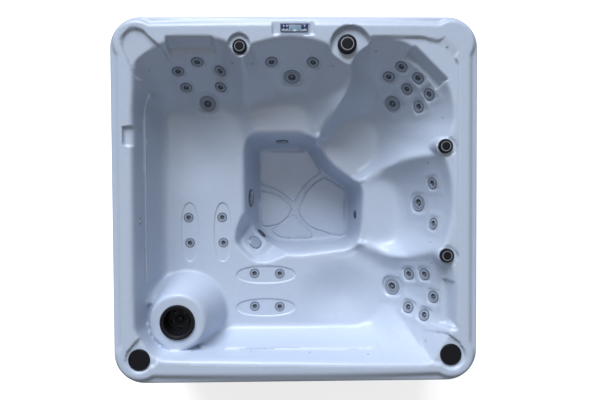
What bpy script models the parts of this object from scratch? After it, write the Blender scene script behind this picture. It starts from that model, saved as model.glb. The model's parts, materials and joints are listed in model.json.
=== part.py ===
"""Square acrylic hot tub: a thermoformed shell with its fittings, over a framed and panelled cabinet.

Units are metres, +Z is up, and the origin lies at the bottom centre of the base pan. +X is the side with the
two air controls, and +Y is the side with the topside control. The lounger heads are at -X +Y and at +X -Y.
"""
import math

import bmesh
import bpy
import numpy as np
from mathutils import Matrix, Vector

# Overall sizes
SIDE = 2.130
HALF = SIDE / 2
RIM_HEIGHT = 0.900
CORNER_RADIUS = 0.180
SHELL_THICKNESS = 0.009
GAP = 0.0003
OVERRUN = 0.020

# Deck: outer ledge, sloping band, raised rim and round corner bosses
LEDGE_DROP = 0.025
EDGE_ROLL = 0.014
LIP_DEPTH = 0.085
BAND_TOP_INSET = 0.056
BAND_FOOT_MIDDLE = 0.010
BAND_FOOT_CORNER = 0.041
BAND_FOOT_SIDE = 0.030
BOSS_INSET = 0.155
BOSS_RADIUS = 0.125
BOSS_BEVEL = 0.012
INNER_DECK_DROP = 0.012

# Depths below the rim
WALL_LEDGE_DEPTH = 0.170
WALL_LEDGE_WIDTH = 0.012
LEDGE_WALL_RUN = 0.110
LEDGE_FADE_RUN = 0.050
LEAST_RUN = 0.004
LOUNGE_DEPTH = 0.410
CENTRE_SEAT_DEPTH = 0.370
CORNER_SEAT_DEPTH = 0.460
SIDE_SEAT_DEPTH = 0.400
FOOTWELL_FLOOR_HEIGHT = 0.100
FOOTWELL_DEPTH = RIM_HEIGHT - FOOTWELL_FLOOR_HEIGHT
TOWER_DEPTH = 0.120
HIP_BOWL_SHARES = [(-0.600, 0.300), (0.270, -0.600)]
HIP_BOWL_RADII = [(0.300, 0.330), (0.300, 0.260)]
HIP_BOWL_DEPTH = 0.035

# Surface blending
FIELD_STEP = 0.006
FIELD_BLUR = 0.007
SEAT_FILLET = 0.040
RIDGE_BLEND = 0.050
RIDGE_FADE = 0.060
WELL_BLEND = 0.030
TOWER_BLEND = 0.030
NET_CELLS = 132
NET_RELAX_ROUNDS = 60
NET_RELAX_SHARE = 0.6
NET_LEAST_STEP = 0.00001
CORNER_REACH_SHARE = 0.48
SMOOTH_ANGLE = 35
MERGE_DISTANCE = 0.000001
NET_FACE_SHARE = 0.028

# Outlines of the moulded pockets, as shares of the half side, read round each pocket
LOUNGE_RIM_SHARES = [(-0.867, 0.748), (-0.797, 0.801), (-0.726, 0.838), (-0.565, 0.871), (-0.436, 0.871),
                     (-0.355, 0.850), (-0.320, 0.785), (-0.240, 0.730), (-0.130, 0.560), (-0.060, 0.360),
                     (0.100, 0.150), (0.330, -0.050), (0.560, -0.150), (0.760, -0.225), (0.850, -0.335),
                     (0.868, -0.441), (0.876, -0.551), (0.865, -0.673), (0.837, -0.734), (0.793, -0.795),
                     (0.758, -0.867), (0.732, -0.898), (-0.745, -0.858), (-0.797, -0.828), (-0.848, -0.748),
                     (-0.872, -0.700)]
LOUNGE_PAN_SHARES = [(-0.852, 0.560), (-0.345, 0.550), (-0.314, 0.432), (-0.300, 0.150), (0.000, -0.050),
                     (0.150, -0.250), (0.480, -0.360), (0.530, -0.482), (0.522, -0.673), (0.430, -0.835),
                     (-0.740, -0.845), (-0.842, -0.740)]
CENTRE_RIM_SHARES = [(-0.270, 0.775), (-0.242, 0.839), (-0.188, 0.850), (-0.118, 0.869), (-0.021, 0.878),
                     (0.077, 0.869), (0.185, 0.838), (0.262, 0.765), (0.345, 0.735), (0.380, 0.620),
                     (0.300, 0.430), (0.200, 0.200), (-0.200, 0.150), (-0.420, 0.350), (-0.400, 0.650)]
CENTRE_PAN_SHARES = [(-0.272, 0.575), (0.050, 0.575), (0.120, 0.470), (0.040, 0.260), (-0.272, 0.260)]
CORNER_RIM_SHARES = [(0.299, 0.763), (0.340, 0.820), (0.403, 0.862), (0.471, 0.873), (0.555, 0.863),
                     (0.637, 0.832), (0.740, 0.745), (0.827, 0.635), (0.858, 0.535), (0.864, 0.432),
                     (0.838, 0.360), (0.800, 0.250), (0.600, 0.060), (0.300, 0.000), (0.060, 0.250),
                     (0.200, 0.480), (0.275, 0.620)]
CORNER_PAN_SHARES = [(0.178, 0.400), (0.300, 0.522), (0.441, 0.510), (0.515, 0.431), (0.530, 0.330),
                     (0.460, 0.210), (0.250, 0.060), (0.100, 0.250)]
SIDE_RIM_SHARES = [(0.790, 0.265), (0.815, 0.225), (0.843, 0.143), (0.859, 0.050), (0.857, -0.066),
                   (0.843, -0.148), (0.820, -0.240), (0.700, -0.420), (0.520, -0.420), (0.200, -0.200),
                   (0.200, 0.080), (0.450, 0.300), (0.640, 0.400)]
SIDE_PAN_SHARES = [(0.450, 0.120), (0.600, 0.120), (0.650, 0.000), (0.650, -0.180), (0.600, -0.280),
                   (0.450, -0.272), (0.250, -0.200), (0.250, 0.000)]
WELL_RIM_SHARES = [(-0.285, 0.392), (0.060, 0.392), (0.140, 0.343), (0.194, 0.250), (0.273, 0.176),
                   (0.370, 0.114), (0.416, 0.049), (0.403, -0.210), (0.360, -0.294), (0.029, -0.336),
                   (-0.150, -0.322), (-0.306, -0.165), (-0.308, 0.307)]
WELL_FLOOR_SHARES = [(-0.240, 0.339), (0.101, 0.338), (0.183, 0.200), (0.321, 0.095), (0.369, 0.047),
                     (0.376, -0.238), (0.341, -0.286), (0.035, -0.298), (-0.158, -0.290), (-0.254, -0.192)]
WELL_RIM_DEPTH = 0.430
TOWER_CENTRE_SHARES = (-0.671, -0.686)
TOWER_TOP_RADIUS = 0.170
TOWER_BASE_RADIUS = 0.258
BACK_POWER = 1.35
STEP_FADE_HEIGHT = -0.060
RIM_CORNER_CUT = 0.060
PAN_CORNER_CUT = 0.090

# Small moulded forms
WALL_RISE = 10.0
POCKET_RISE = 2.5
STEP_RUN = 0.006
DECK_CORNER_CUT = 0.020
INNER_DECK_SHARES = [(0.400, 0.886), (0.692, 0.886), (0.757, 0.866), (0.784, 0.864), (0.824, 0.903),
                     (0.899, 0.819), (0.866, 0.773), (0.888, 0.747), (0.888, -0.720), (0.700, -0.700),
                     (0.650, 0.000), (0.650, 0.650), (0.400, 0.700)]
CORNER_RECESS_INSET = 0.155
CORNER_RECESS_RADIUS = 0.082
CORNER_RECESS_DEPTH = 0.014
CORNER_RECESS_CENTRES = {'back_left': (CORNER_RECESS_INSET - HALF, HALF - CORNER_RECESS_INSET),
                         'front_left': (CORNER_RECESS_INSET - HALF, CORNER_RECESS_INSET - HALF),
                         'front_right': (HALF - CORNER_RECESS_INSET, CORNER_RECESS_INSET - HALF)}
CORNER_THROAT_SHARES = {
    'back_left': [(-0.798, 0.903), (-0.715, 0.831), (-0.740, 0.760), (-0.865, 0.735), (-0.925, 0.821)],
    'front_left': [(-0.925, -0.818), (-0.860, -0.742), (-0.790, -0.780), (-0.737, -0.856), (-0.780, -0.905)],
    'front_right': [(0.910, -0.788), (0.836, -0.732), (0.750, -0.800), (0.728, -0.897), (0.797, -0.905)]}
VALVE_SHARES = {'diverter': (0.284, 0.848), 'air_1': (-0.298, 0.834), 'air_2': (0.819, 0.294),
                'air_3': (0.827, -0.304)}
VALVE_POCKET_SHARES = {'diverter': (0.301, 0.836), 'air_1': (-0.301, 0.843), 'air_2': (0.826, 0.290),
                       'air_3': (0.831, -0.309)}
DIVERTER_POCKET_RADIUS = 0.108
DIVERTER_POCKET_DEPTH = 0.030
AIR_POCKET_RADIUS = 0.058
AIR_POCKET_DEPTH = 0.018
VALVE_SEATS = {'div': 0.058, 'air': 0.044}
VALVE_LAND = 0.007
LAND_FALL = 3.0
CONTROL_POCKET_SHARES = [(-0.117, 0.977), (0.108, 0.977), (0.108, 0.895), (-0.117, 0.895)]
CONTROL_POCKET_DEPTH = 0.014
NOTCH_SHARES = [(-0.928, 0.406), (-0.800, 0.406), (-0.800, 0.303), (-0.928, 0.303)]
NOTCH_DEPTH = 0.020
PILLOW_DEPTH = 0.092
PILLOW_SHARES = [
    ([(-0.696, 0.886), (-0.438, 0.886), (-0.430, 0.740), (-0.690, 0.740)],
     [(-0.686, 0.840), (-0.438, 0.840), (-0.432, 0.700), (-0.686, 0.700)]),
    ([(0.655, 0.845), (0.839, 0.660), (0.740, 0.560), (0.555, 0.745)],
     [(0.632, 0.812), (0.808, 0.638), (0.730, 0.560), (0.555, 0.735)]),
    ([(0.880, -0.441), (0.884, -0.700), (0.740, -0.690), (0.740, -0.435)],
     [(0.842, -0.444), (0.842, -0.692), (0.700, -0.685), (0.700, -0.440)])]
CALF_OVAL_SHARES = [((-0.651, -0.199), 'Y'), ((-0.448, -0.200), 'Y'), ((-0.183, -0.466), 'X'),
                    ((-0.185, -0.670), 'X')]
OVAL_HALF_LENGTH = 0.196
OVAL_HALF_WIDTH = 0.060
OVAL_DEPTH = 0.006
FLOOR_PAD_SHARES = [
    [(-0.240, 0.332), (0.094, 0.331), (0.185, 0.179), (0.107, 0.124), (0.047, 0.055), (-0.005, -0.034),
     (-0.101, 0.045), (-0.170, 0.077), (-0.242, 0.095)],
    [(-0.242, 0.052), (-0.184, 0.045), (-0.101, 0.015), (-0.039, -0.041), (-0.019, -0.083), (-0.047, -0.128),
     (-0.102, -0.179), (-0.183, -0.199), (-0.227, -0.192), (-0.246, -0.123)],
    [(-0.165, -0.227), (-0.103, -0.273), (-0.017, -0.286), (0.119, -0.278), (0.123, -0.247),
     (-0.007, -0.116)],
    [(0.208, 0.144), (0.141, 0.105), (0.078, 0.038), (0.040, -0.041), (0.022, -0.097), (0.064, -0.166),
     (0.119, -0.208), (0.262, -0.258), (0.335, -0.266), (0.362, -0.238), (0.360, -0.182), (0.340, -0.085),
     (0.362, 0.026), (0.340, 0.061)]]
FLOOR_PAD_HEIGHT = 0.005
PAD_CORNER_CUT = 0.025
NICHE_SHARES = [(-0.275, -0.155), (-0.330, -0.214), (-0.353, -0.262), (-0.319, -0.312), (-0.257, -0.364),
                (-0.189, -0.352), (-0.120, -0.283), (-0.200, -0.130)]
NICHE_START_SHARES = (-0.345, -0.325)
NICHE_TOP_DEPTH = 0.440
NICHE_SLOPE = 1.0

# Fittings that sit in round seats cut in the shell: seat radius, hole radius, height over the shell
FLAT_FULL = 1.10
FLAT_FADE = 1.55
SEAT_SIDES = 10
SEAT_SINK = 0.004
SEAT_REACH = 0.016
LEVEL_SEAT_REACH = 0.050
HOLE_REACH = 0.030
STEM_LENGTH = 0.035
PIECE_SIDES = 10
CAP_SIDES = 12
JET_SIZES = {'large': (0.056, 0.034, 0.004), 'small': (0.040, 0.024, 0.003), 'calf': (0.034, 0.021, 0.002)}
JET_NOZZLE_SHARE = 0.34
JET_RIM_SHARE = 0.78
JET_CUP_SHARE = 0.70
BACK_JET_SHARES = {
    'left_back': [(-0.550, 0.784, 'small'), (-0.668, 0.741, 'small'), (-0.427, 0.744, 'small'),
                  (-0.643, 0.669, 'small'), (-0.438, 0.669, 'small'), (-0.530, 0.587, 'large')],
    'centre_back': [(-0.131, 0.782, 'small'), (0.103, 0.778, 'small'), (-0.016, 0.717, 'large')],
    'corner_back': [(0.603, 0.753, 'small'), (0.547, 0.715, 'small'), (0.694, 0.687, 'small'),
                    (0.651, 0.642, 'small'), (0.758, 0.597, 'small'), (0.720, 0.541, 'small'),
                    (0.590, 0.575, 'large')],
    'side_back': [(0.785, 0.095, 'small'), (0.790, -0.137, 'small'), (0.736, -0.022, 'large')],
    'right_back': [(0.677, -0.446, 'small'), (0.748, -0.433, 'small'), (0.788, -0.556, 'small'),
                   (0.674, -0.646, 'small'), (0.745, -0.670, 'small'), (0.594, -0.537, 'large')],
    'left_calf': [(-0.658, -0.110, 'calf'), (-0.651, -0.266, 'calf'), (-0.451, -0.109, 'calf'),
                  (-0.445, -0.266, 'calf')],
    'right_calf': [(-0.254, -0.458, 'calf'), (-0.098, -0.461, 'calf'), (-0.254, -0.663, 'calf'),
                   (-0.099, -0.667, 'calf')]}
VALVE_CAP_HEIGHT = {'div': 0.030, 'air': 0.022}
VALVE_STEM_SHARE = 0.45
VALVE_RING_SHARE = 0.70
VALVE_KNOB_SHARE = 0.52
VALVE_KNOB_DROP = 0.004
COVER_SEAT_RADIUS = 0.0665
COVER_HOLE_RADIUS = 0.045
COVER_HEIGHT = 0.010
COVER_INSETS = {'speaker_cover_left': (0.151, 0.146), 'speaker_cover_right': (0.159, 0.159)}
WALL_FITTING_START_SHARES = {'suction_cover_back': (-0.080, 0.000), 'suction_cover_left': (0.000, 0.006),
                             'return_fitting_right': (0.200, -0.106)}
WALL_FITTING_WAY_SHARES = {'suction_cover_back': (0, 1), 'suction_cover_left': (-1, 0),
                           'return_fitting_right': (1, 0)}
WALL_FITTING_RADII = {'suction_cover_back': 0.047, 'suction_cover_left': 0.066, 'return_fitting_right': 0.030}
WALL_FITTING_DEPTH_SHARE = 0.75
WALL_FITTING_HOLE_SHARE = 0.55
WALL_FITTING_HEIGHT = 0.008
LIGHT_SHARES = (-0.258, -0.278)
LIGHT_SEAT_RADIUS = 0.050
LIGHT_HOLE_RADIUS = 0.036
LIGHT_DOME = 0.010
DOME_SHARES = [0.45, 0.85]
CONTROL_CENTRE_SHARES = (0.0015, 0.928)
CONTROL_SIZE = (0.172, 0.062)
CONTROL_BODY_SIZE = (0.150, 0.044)
CONTROL_HEIGHT = 0.008
CONTROL_EDGE = 0.004
CONTROL_SINK = 0.002
CONTROL_BODY_DEPTH = 0.030

# Filter: a housing hung through the tower, with a basket and a cartridge that lift out together
FILTER_RING_RADIUS = 0.1055
FILTER_BORE_RADIUS = 0.092
FILTER_WALL = 0.004
FILTER_FLANGE = 0.008
FILTER_DEPTH = 0.330
FILTER_SIDES = 16
BASKET_RING_HEIGHT = 0.008
BASKET_DEPTH = 0.090
BASKET_WALL = 0.0035
BASKET_SLOTS = 5
BASKET_SLOT_LENGTH = 0.055
BASKET_SLOT_WIDTH = 0.018
BASKET_CLEARANCE = 0.003
CARTRIDGE_VALLEY = 0.002
CARTRIDGE_RADIUS = 0.062
CARTRIDGE_CORE_RADIUS = 0.026
CARTRIDGE_PLEATS = 12
CARTRIDGE_PLEAT_DEPTH = 0.008
CARTRIDGE_CAP = 0.012
FILTER_FLOOR_CLEARANCE = 0.020

# Cabinet
LIP_OVERHANG = 0.030
CABINET_HALF = HALF - LIP_OVERHANG
CABINET_CORNER = 0.150
CORNER_STEPS = 4
BASE_WALL = 0.008
BASE_RIM_HEIGHT = 0.040
PANEL_THICKNESS = 0.016
PANEL_TOP_GAP = 0.004
PANEL_TOP = RIM_HEIGHT - LEDGE_DROP - LIP_DEPTH - PANEL_TOP_GAP
PANEL_GROOVES = 6
PANEL_GROOVE_DEPTH = 0.003
PANEL_GROOVE_WIDTH = 0.008
PANEL_END_GAP = 0.0015
POST_WALL = 0.030
RAIL_REACH = 0.050
RAIL_WIDTH = 0.050
RAIL_HEIGHT = 0.045
TOP_RAIL_DROP = 0.050
TOP_RAIL_TOP = RIM_HEIGHT - TOP_RAIL_DROP
BLOCK_LENGTH = 0.100
BLOCK_WIDTH = 0.020
BLOCK_PLACE_SHARES = [-0.450, 0.550]
BLOCK_INSET = 0.078
BLOCK_SLACK = 0.0034

# Equipment bay behind the front panel, on the +Y side
EQUIPMENT_INSET = 0.315
EQUIPMENT_Y = CABINET_HALF - EQUIPMENT_INSET
MANIFOLD_INSET = 0.245
MANIFOLD_X = MANIFOLD_INSET - CABINET_HALF
PACK_REACH = 0.370
PACK_SHIFT = 0.020
PACK_CENTRE = (MANIFOLD_X + PACK_REACH, EQUIPMENT_Y + PACK_SHIFT)
PUMP_REACH = 0.520
PUMP_START = (PACK_CENTRE[0] + PUMP_REACH, EQUIPMENT_Y)
PUMP_AXIS_HEIGHT = 0.150
PUMP_VOLUTE_RADIUS = 0.090
PUMP_VOLUTE_LENGTH = 0.070
PUMP_MOTOR_RADIUS = 0.072
PUMP_MOTOR_LENGTH = 0.250
PUMP_END_RADIUS = 0.058
PUMP_NECK_RADIUS = 0.045
PUMP_NECK_LENGTH = 0.025
PUMP_PORT_RADIUS = 0.032
PUMP_PORT_LENGTH = 0.035
PUMP_FOOT_SIZE = (0.220, 0.130)
PACK_SIZE = (0.400, 0.170, 0.250)
PACK_EDGE = 0.015
PACK_PIPE_HEIGHT = 0.150
PACK_INLET_SHARE = 0.250
PIPE_RADIUS = 0.026
PIPE_BEND = 0.060
PIPE_BEND_STEPS = 4
PUMP_APPROACH = 0.090
PIPE_TOP_SHARE = 0.500
MANIFOLD_END_Y = -0.250
SUPPORT_SHARES = [(-0.180, 0.270), (0.080, 0.270), (0.140, 0.160), (0.280, 0.060), (0.320, 0.010),
                  (0.320, -0.220), (-0.130, -0.240), (-0.200, -0.170)]
SUPPORT_SLACK = 0.0018

# Colours
ACRYLIC = (0.460, 0.550, 0.720)
JET_GREY = (0.190, 0.190, 0.240)
BLACK = (0.012, 0.013, 0.015)
PALE_PLASTIC = (0.480, 0.540, 0.620)
CHARCOAL = (0.055, 0.058, 0.062)
NAVY = (0.035, 0.060, 0.160)
PIPE_WHITE = (0.780, 0.790, 0.800)
FOAM = (0.700, 0.690, 0.650)
FILTER_WHITE = (0.800, 0.810, 0.820)
LENS = (0.420, 0.480, 0.600)


def smooth_step(t):
    """Ease from 0 to 1."""
    t = np.clip(t, 0.0, 1.0)
    return t * t * (3.0 - 2.0 * t)


def smooth_min(a, b, blend):
    """Lower of two heights, rounded where they cross."""
    blend = np.maximum(blend, 1e-9)
    h = np.clip((blend - np.abs(a - b)) / blend, 0.0, 1.0)
    return np.minimum(a, b) - h * h * blend / 4.0


def smooth_max(a, b, blend):
    """Higher of two heights, rounded where they cross."""
    return -smooth_min(-a, -b, blend)


def rounded_outline(points, cut, steps=4):
    """Closed outline whose corners are turned by short parabolas."""
    points = [np.array(p, float) for p in points]
    outline = []
    for i, corner in enumerate(points):
        before, after = points[i - 1], points[(i + 1) % len(points)]
        back, ahead = np.linalg.norm(before - corner), np.linalg.norm(after - corner)
        start = corner + (before - corner) * min(cut, CORNER_REACH_SHARE * back) / back
        end = corner + (after - corner) * min(cut, CORNER_REACH_SHARE * ahead) / ahead
        for k in range(steps + 1):
            t = k / steps
            outline.append((1 - t) ** 2 * start + 2 * t * (1 - t) * corner + t * t * end)
    return outline


def from_shares(shares, scale=HALF):
    """Real points from shares of a size."""
    return [(sx * scale, sy * scale) for sx, sy in shares]


def inside_distance(outline, x, y):
    """Distance from points to an outline, positive inside it."""
    best = np.full(np.shape(x), np.inf)
    inside = np.zeros(np.shape(x), bool)
    for i, (ax, ay) in enumerate(outline):
        bx, by = outline[(i + 1) % len(outline)]
        dx, dy = bx - ax, by - ay
        length = dx * dx + dy * dy
        if length == 0:
            continue
        t = np.clip(((x - ax) * dx + (y - ay) * dy) / length, 0.0, 1.0)
        best = np.minimum(best, (x - ax - t * dx) ** 2 + (y - ay - t * dy) ** 2)
        if ay != by:
            inside ^= ((ay > y) != (by > y)) & (x < dx * (y - ay) / dy + ax)
    return np.where(inside, 1.0, -1.0) * np.sqrt(best)


def deck_height(x, y):
    """Rim deck: outer ledge, sloping band and raised rim with a round boss at each corner."""
    reach = HALF - BOSS_INSET
    bow = np.clip(np.abs(x) / reach, 0.0, 1.0) ** 2
    foot = BAND_FOOT_MIDDLE + (BAND_FOOT_CORNER - BAND_FOOT_MIDDLE) * bow
    rise_y = (HALF - foot - np.abs(y)) / (BAND_TOP_INSET - foot)
    rise_x = (HALF - BAND_FOOT_SIDE - np.abs(x)) / (BAND_TOP_INSET - BAND_FOOT_SIDE)
    rise = np.minimum(rise_x, rise_y)
    rise = np.where((np.abs(x) > reach) & (np.abs(y) > reach), 0.0, rise)
    boss = (BOSS_RADIUS + BOSS_BEVEL - np.hypot(np.abs(x) - reach, np.abs(y) - reach)) / BOSS_BEVEL
    return LEDGE_DROP * (np.clip(np.maximum(rise, boss), 0.0, 1.0) - 1.0)


def loft(x, y, rim, pan, top, bottom, fillet, ledge=False):
    """Pocket that runs from a rim outline down to a pan outline.

    A steep wall may carry a narrow ledge partway down. Past the rim the wall goes on rising, so that the
    lower of two pockets always wins.
    """
    inner = -inside_distance(pan, x, y)
    outer = inside_distance(rim, x, y)
    run = np.maximum(inner + outer, LEAST_RUN)
    z = bottom + (top - bottom) * np.maximum(inner / run, 0.0) ** BACK_POWER
    if ledge:
        tread = WALL_LEDGE_WIDTH * smooth_step((LEDGE_WALL_RUN - run) / LEDGE_FADE_RUN)
        share = (top + WALL_LEDGE_DEPTH) / (top - bottom)
        steep = np.maximum(run - tread, LEAST_RUN)
        upper = top - outer * (top - bottom) / steep
        lower = bottom + inner * (top - bottom) / steep
        stepped = np.where(outer < steep * share, upper,
                           np.where(outer < steep * share + tread, -WALL_LEDGE_DEPTH, lower))
        z = np.where((tread > 0) & (inner > 0), stepped, z)
    return smooth_max(z, np.full_like(z, bottom), fillet) - fillet / 4


def hip_bowl(x, y, centre_shares, radii):
    """Smooth oval bowl in a lounge floor, as a drop to take from the height."""
    across, along = x - centre_shares[0] * HALF, y - centre_shares[1] * HALF
    return HIP_BOWL_DEPTH * smooth_step(1.0 - np.hypot(across / radii[0], along / radii[1]))


def base_field(x, y):
    """Main forms of the shell, before its small recesses."""
    deck = deck_height(x, y)
    rims = [LOUNGE_RIM_SHARES, CENTRE_RIM_SHARES, CORNER_RIM_SHARES, SIDE_RIM_SHARES]
    pans = [LOUNGE_PAN_SHARES, CENTRE_PAN_SHARES, CORNER_PAN_SHARES, SIDE_PAN_SHARES]
    depths = [LOUNGE_DEPTH, CENTRE_SEAT_DEPTH, CORNER_SEAT_DEPTH, SIDE_SEAT_DEPTH]
    height = deck
    for rim, pan, depth in zip(rims, pans, depths):
        pocket = loft(x, y, rounded_outline(from_shares(rim), RIM_CORNER_CUT),
                      rounded_outline(from_shares(pan), PAN_CORNER_CUT), 0.0, -depth, SEAT_FILLET,
                      ledge=rim is LOUNGE_RIM_SHARES)
        pocket = np.minimum(pocket, deck)
        fade = smooth_step((deck - np.maximum(height, pocket)) / RIDGE_FADE)
        height = smooth_min(height, pocket, RIDGE_BLEND * fade)
    for centre_shares, radii in zip(HIP_BOWL_SHARES, HIP_BOWL_RADII):
        height = height - hip_bowl(x, y, centre_shares, radii)
    well = loft(x, y, rounded_outline(from_shares(WELL_RIM_SHARES), RIM_CORNER_CUT),
                rounded_outline(from_shares(WELL_FLOOR_SHARES), RIM_CORNER_CUT),
                -WELL_RIM_DEPTH, -FOOTWELL_DEPTH, WELL_BLEND)
    height = smooth_min(height, well, WELL_BLEND)
    cx, cy = TOWER_CENTRE_SHARES[0] * HALF, TOWER_CENTRE_SHARES[1] * HALF
    fall = (np.hypot(x - cx, y - cy) - TOWER_TOP_RADIUS) / (TOWER_BASE_RADIUS - TOWER_TOP_RADIUS)
    tower = -TOWER_DEPTH - (LOUNGE_DEPTH - TOWER_DEPTH) * np.maximum(fall, 0.0)
    return np.where(height < -TOWER_DEPTH / 2, smooth_max(height, tower, TOWER_BLEND), height)


def blurred(field, sigma):
    """Field smoothed by a Gaussian, sigma in cells."""
    reach = int(math.ceil(3 * sigma))
    weights = [math.exp(-0.5 * (k / sigma) ** 2) for k in range(-reach, reach + 1)]
    total = sum(weights)
    for axis in (0, 1):
        pad = [(reach, reach) if a == axis else (0, 0) for a in (0, 1)]
        padded = np.pad(field, pad, mode='edge')
        out = np.zeros_like(field)
        for k, w in enumerate(weights):
            part = padded[k:k + field.shape[0], :] if axis == 0 else padded[:, k:k + field.shape[1]]
            out += part * (w / total)
        field = out
    return field


def vesica_inside(x, y, centre, half_length, half_width, lengthwise):
    """Distance inside a pointed oval, which two equal arcs bound."""
    along, across = (x - centre[0], y - centre[1]) if lengthwise == 'X' else (y - centre[1], x - centre[0])
    arc = (half_length ** 2 + half_width ** 2) / (2 * half_width)
    offset = arc - half_width
    return arc - np.hypot(along, np.abs(across) + offset)


def teardrop_inside(x, y, centre, radius, corner_shares):
    """Distance inside a round recess that runs out to the tub past two corners."""
    disc = radius - np.hypot(x - centre[0], y - centre[1])
    throat = inside_distance(from_shares(corner_shares), x, y)
    return np.maximum(disc, throat)


def sunk(height, inside, level, rise=WALL_RISE):
    """Cut a steep-walled pocket down to a level."""
    return np.minimum(height, level + rise * np.maximum(-inside, 0.0))


def dropped(height, inside, depth, run):
    """Step the deck down by a depth inside an outline, fading out on the walls below the deck."""
    near_deck = smooth_step((height - STEP_FADE_HEIGHT) / (-LEDGE_DROP - STEP_FADE_HEIGHT))
    return height - depth * smooth_step(inside / run) * near_deck


def pillow_pocket(x, y, rim_shares, pan_shares):
    """Open-fronted pocket for a head pillow, with a sloping back and a narrow floor."""
    return loft(x, y, from_shares(rim_shares), from_shares(pan_shares), 0.0, -PILLOW_DEPTH, 0.0)


def detail_height(height, x, y):
    """Small moulded forms, taken from the smoothed main forms."""
    inner_deck = rounded_outline(from_shares(INNER_DECK_SHARES), DECK_CORNER_CUT)
    height = dropped(height, inside_distance(inner_deck, x, y), INNER_DECK_DROP, STEP_RUN)
    for name, centre in CORNER_RECESS_CENTRES.items():
        inside = teardrop_inside(x, y, centre, CORNER_RECESS_RADIUS, CORNER_THROAT_SHARES[name])
        height = dropped(height, inside, CORNER_RECESS_DEPTH, STEP_RUN)
    for name, (sx, sy) in VALVE_SHARES.items():
        radius, depth = (DIVERTER_POCKET_RADIUS, DIVERTER_POCKET_DEPTH) if name == 'diverter' else \
            (AIR_POCKET_RADIUS, AIR_POCKET_DEPTH)
        px, py = VALVE_POCKET_SHARES[name]
        land = np.hypot(x - sx * HALF, y - sy * HALF) - VALVE_SEATS[name[:3]] - VALVE_LAND
        height = np.maximum(height, -depth - LAND_FALL * np.maximum(land, 0.0))
        disc = radius - np.hypot(x - px * HALF, y - py * HALF)
        height = sunk(height, disc, -depth, POCKET_RISE)
    panel = inside_distance(from_shares(CONTROL_POCKET_SHARES), x, y)
    height = sunk(height, panel, -CONTROL_POCKET_DEPTH)
    notch = inside_distance(from_shares(NOTCH_SHARES), x, y)
    height = sunk(height, notch, -NOTCH_DEPTH)
    for rim, pan in PILLOW_SHARES:
        height = np.minimum(height, pillow_pocket(x, y, rim, pan))
    for (sx, sy), lengthwise in CALF_OVAL_SHARES:
        inside = vesica_inside(x, y, (sx * HALF, sy * HALF), OVAL_HALF_LENGTH, OVAL_HALF_WIDTH, lengthwise)
        height = height - OVAL_DEPTH * smooth_step(inside / STEP_RUN)
    for outline in FLOOR_PAD_SHARES:
        inside = inside_distance(rounded_outline(from_shares(outline), PAD_CORNER_CUT), x, y)
        height = height + FLOOR_PAD_HEIGHT * smooth_step(inside / STEP_RUN)
    along = ((x - NICHE_START_SHARES[0] * HALF) + (y - NICHE_START_SHARES[1] * HALF)) / math.sqrt(2)
    niche = inside_distance(rounded_outline(from_shares(NICHE_SHARES), DECK_CORNER_CUT), x, y)
    return sunk(height, niche, -NICHE_TOP_DEPTH - NICHE_SLOPE * along, POCKET_RISE)


class ShellField:
    """Smoothed main forms, kept on an even raster and read between its points."""

    def __init__(self):
        self.start = -HALF - OVERRUN
        count = int(round((SIDE + 2 * OVERRUN) / FIELD_STEP)) + 1
        axis = self.start + np.arange(count) * FIELD_STEP
        gx, gy = np.meshgrid(axis, axis, indexing='ij')
        self.base = blurred(base_field(gx, gy), FIELD_BLUR / FIELD_STEP)
        self.full = detail_height(self.base, gx, gy)
        self.flats = []

    def sample(self, field, x, y):
        """Value of a raster between its points."""
        u, v = (x - self.start) / FIELD_STEP, (y - self.start) / FIELD_STEP
        n = field.shape[0]
        i = np.clip(np.floor(u).astype(int), 1, n - 3)
        j = np.clip(np.floor(v).astype(int), 1, n - 3)
        wu, wv = cubic_weights(u - i), cubic_weights(v - j)
        total = np.zeros(np.shape(x))
        for a in range(4):
            for b in range(4):
                total += wu[a] * wv[b] * field[i + a - 1, j + b - 1]
        return total

    def rough(self, x, y):
        """Height below the rim, close enough to lay out the net."""
        return self.sample(self.full, x, y)

    def height(self, x, y):
        """Height below the rim, with the flats that the fittings sit on."""
        z = detail_height(self.sample(self.base, x, y), x, y)
        for cx, cy, level, gx, gy, radius in self.flats:
            dx, dy = x - cx, y - cy
            drop = gx * dx + gy * dy
            reach = np.sqrt(dx * dx + dy * dy + drop * drop)
            near = smooth_step((FLAT_FADE * radius - reach) / ((FLAT_FADE - FLAT_FULL) * radius))
            z = z + near * (level + drop - z)
        return z

    def slope(self, x, y, step=FIELD_BLUR):
        """Height and its two slopes at one point."""
        px = np.array([x, x + step, x - step, x, x])
        py = np.array([y, y, y, y + step, y - step])
        z = self.height(px, py)
        return float(z[0]), float(z[1] - z[2]) / (2 * step), float(z[3] - z[4]) / (2 * step)

    def add_flat(self, x, y, radius):
        """Make the surface flat under a round fitting and return its place on the shell."""
        level, gx, gy = self.slope(x, y, radius / 2)
        self.flats.append((x, y, level, gx, gy, radius))
        normal = Vector((-gx, -gy, 1.0)).normalized()
        return Vector((x, y, RIM_HEIGHT + level)), normal


def cubic_weights(t):
    """Catmull-Rom weights of the four neighbours."""
    return (0.5 * (-t ** 3 + 2 * t ** 2 - t), 0.5 * (3 * t ** 3 - 5 * t ** 2 + 2),
            0.5 * (-3 * t ** 3 + 4 * t ** 2 + t), 0.5 * (t ** 3 - t ** 2))


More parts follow.
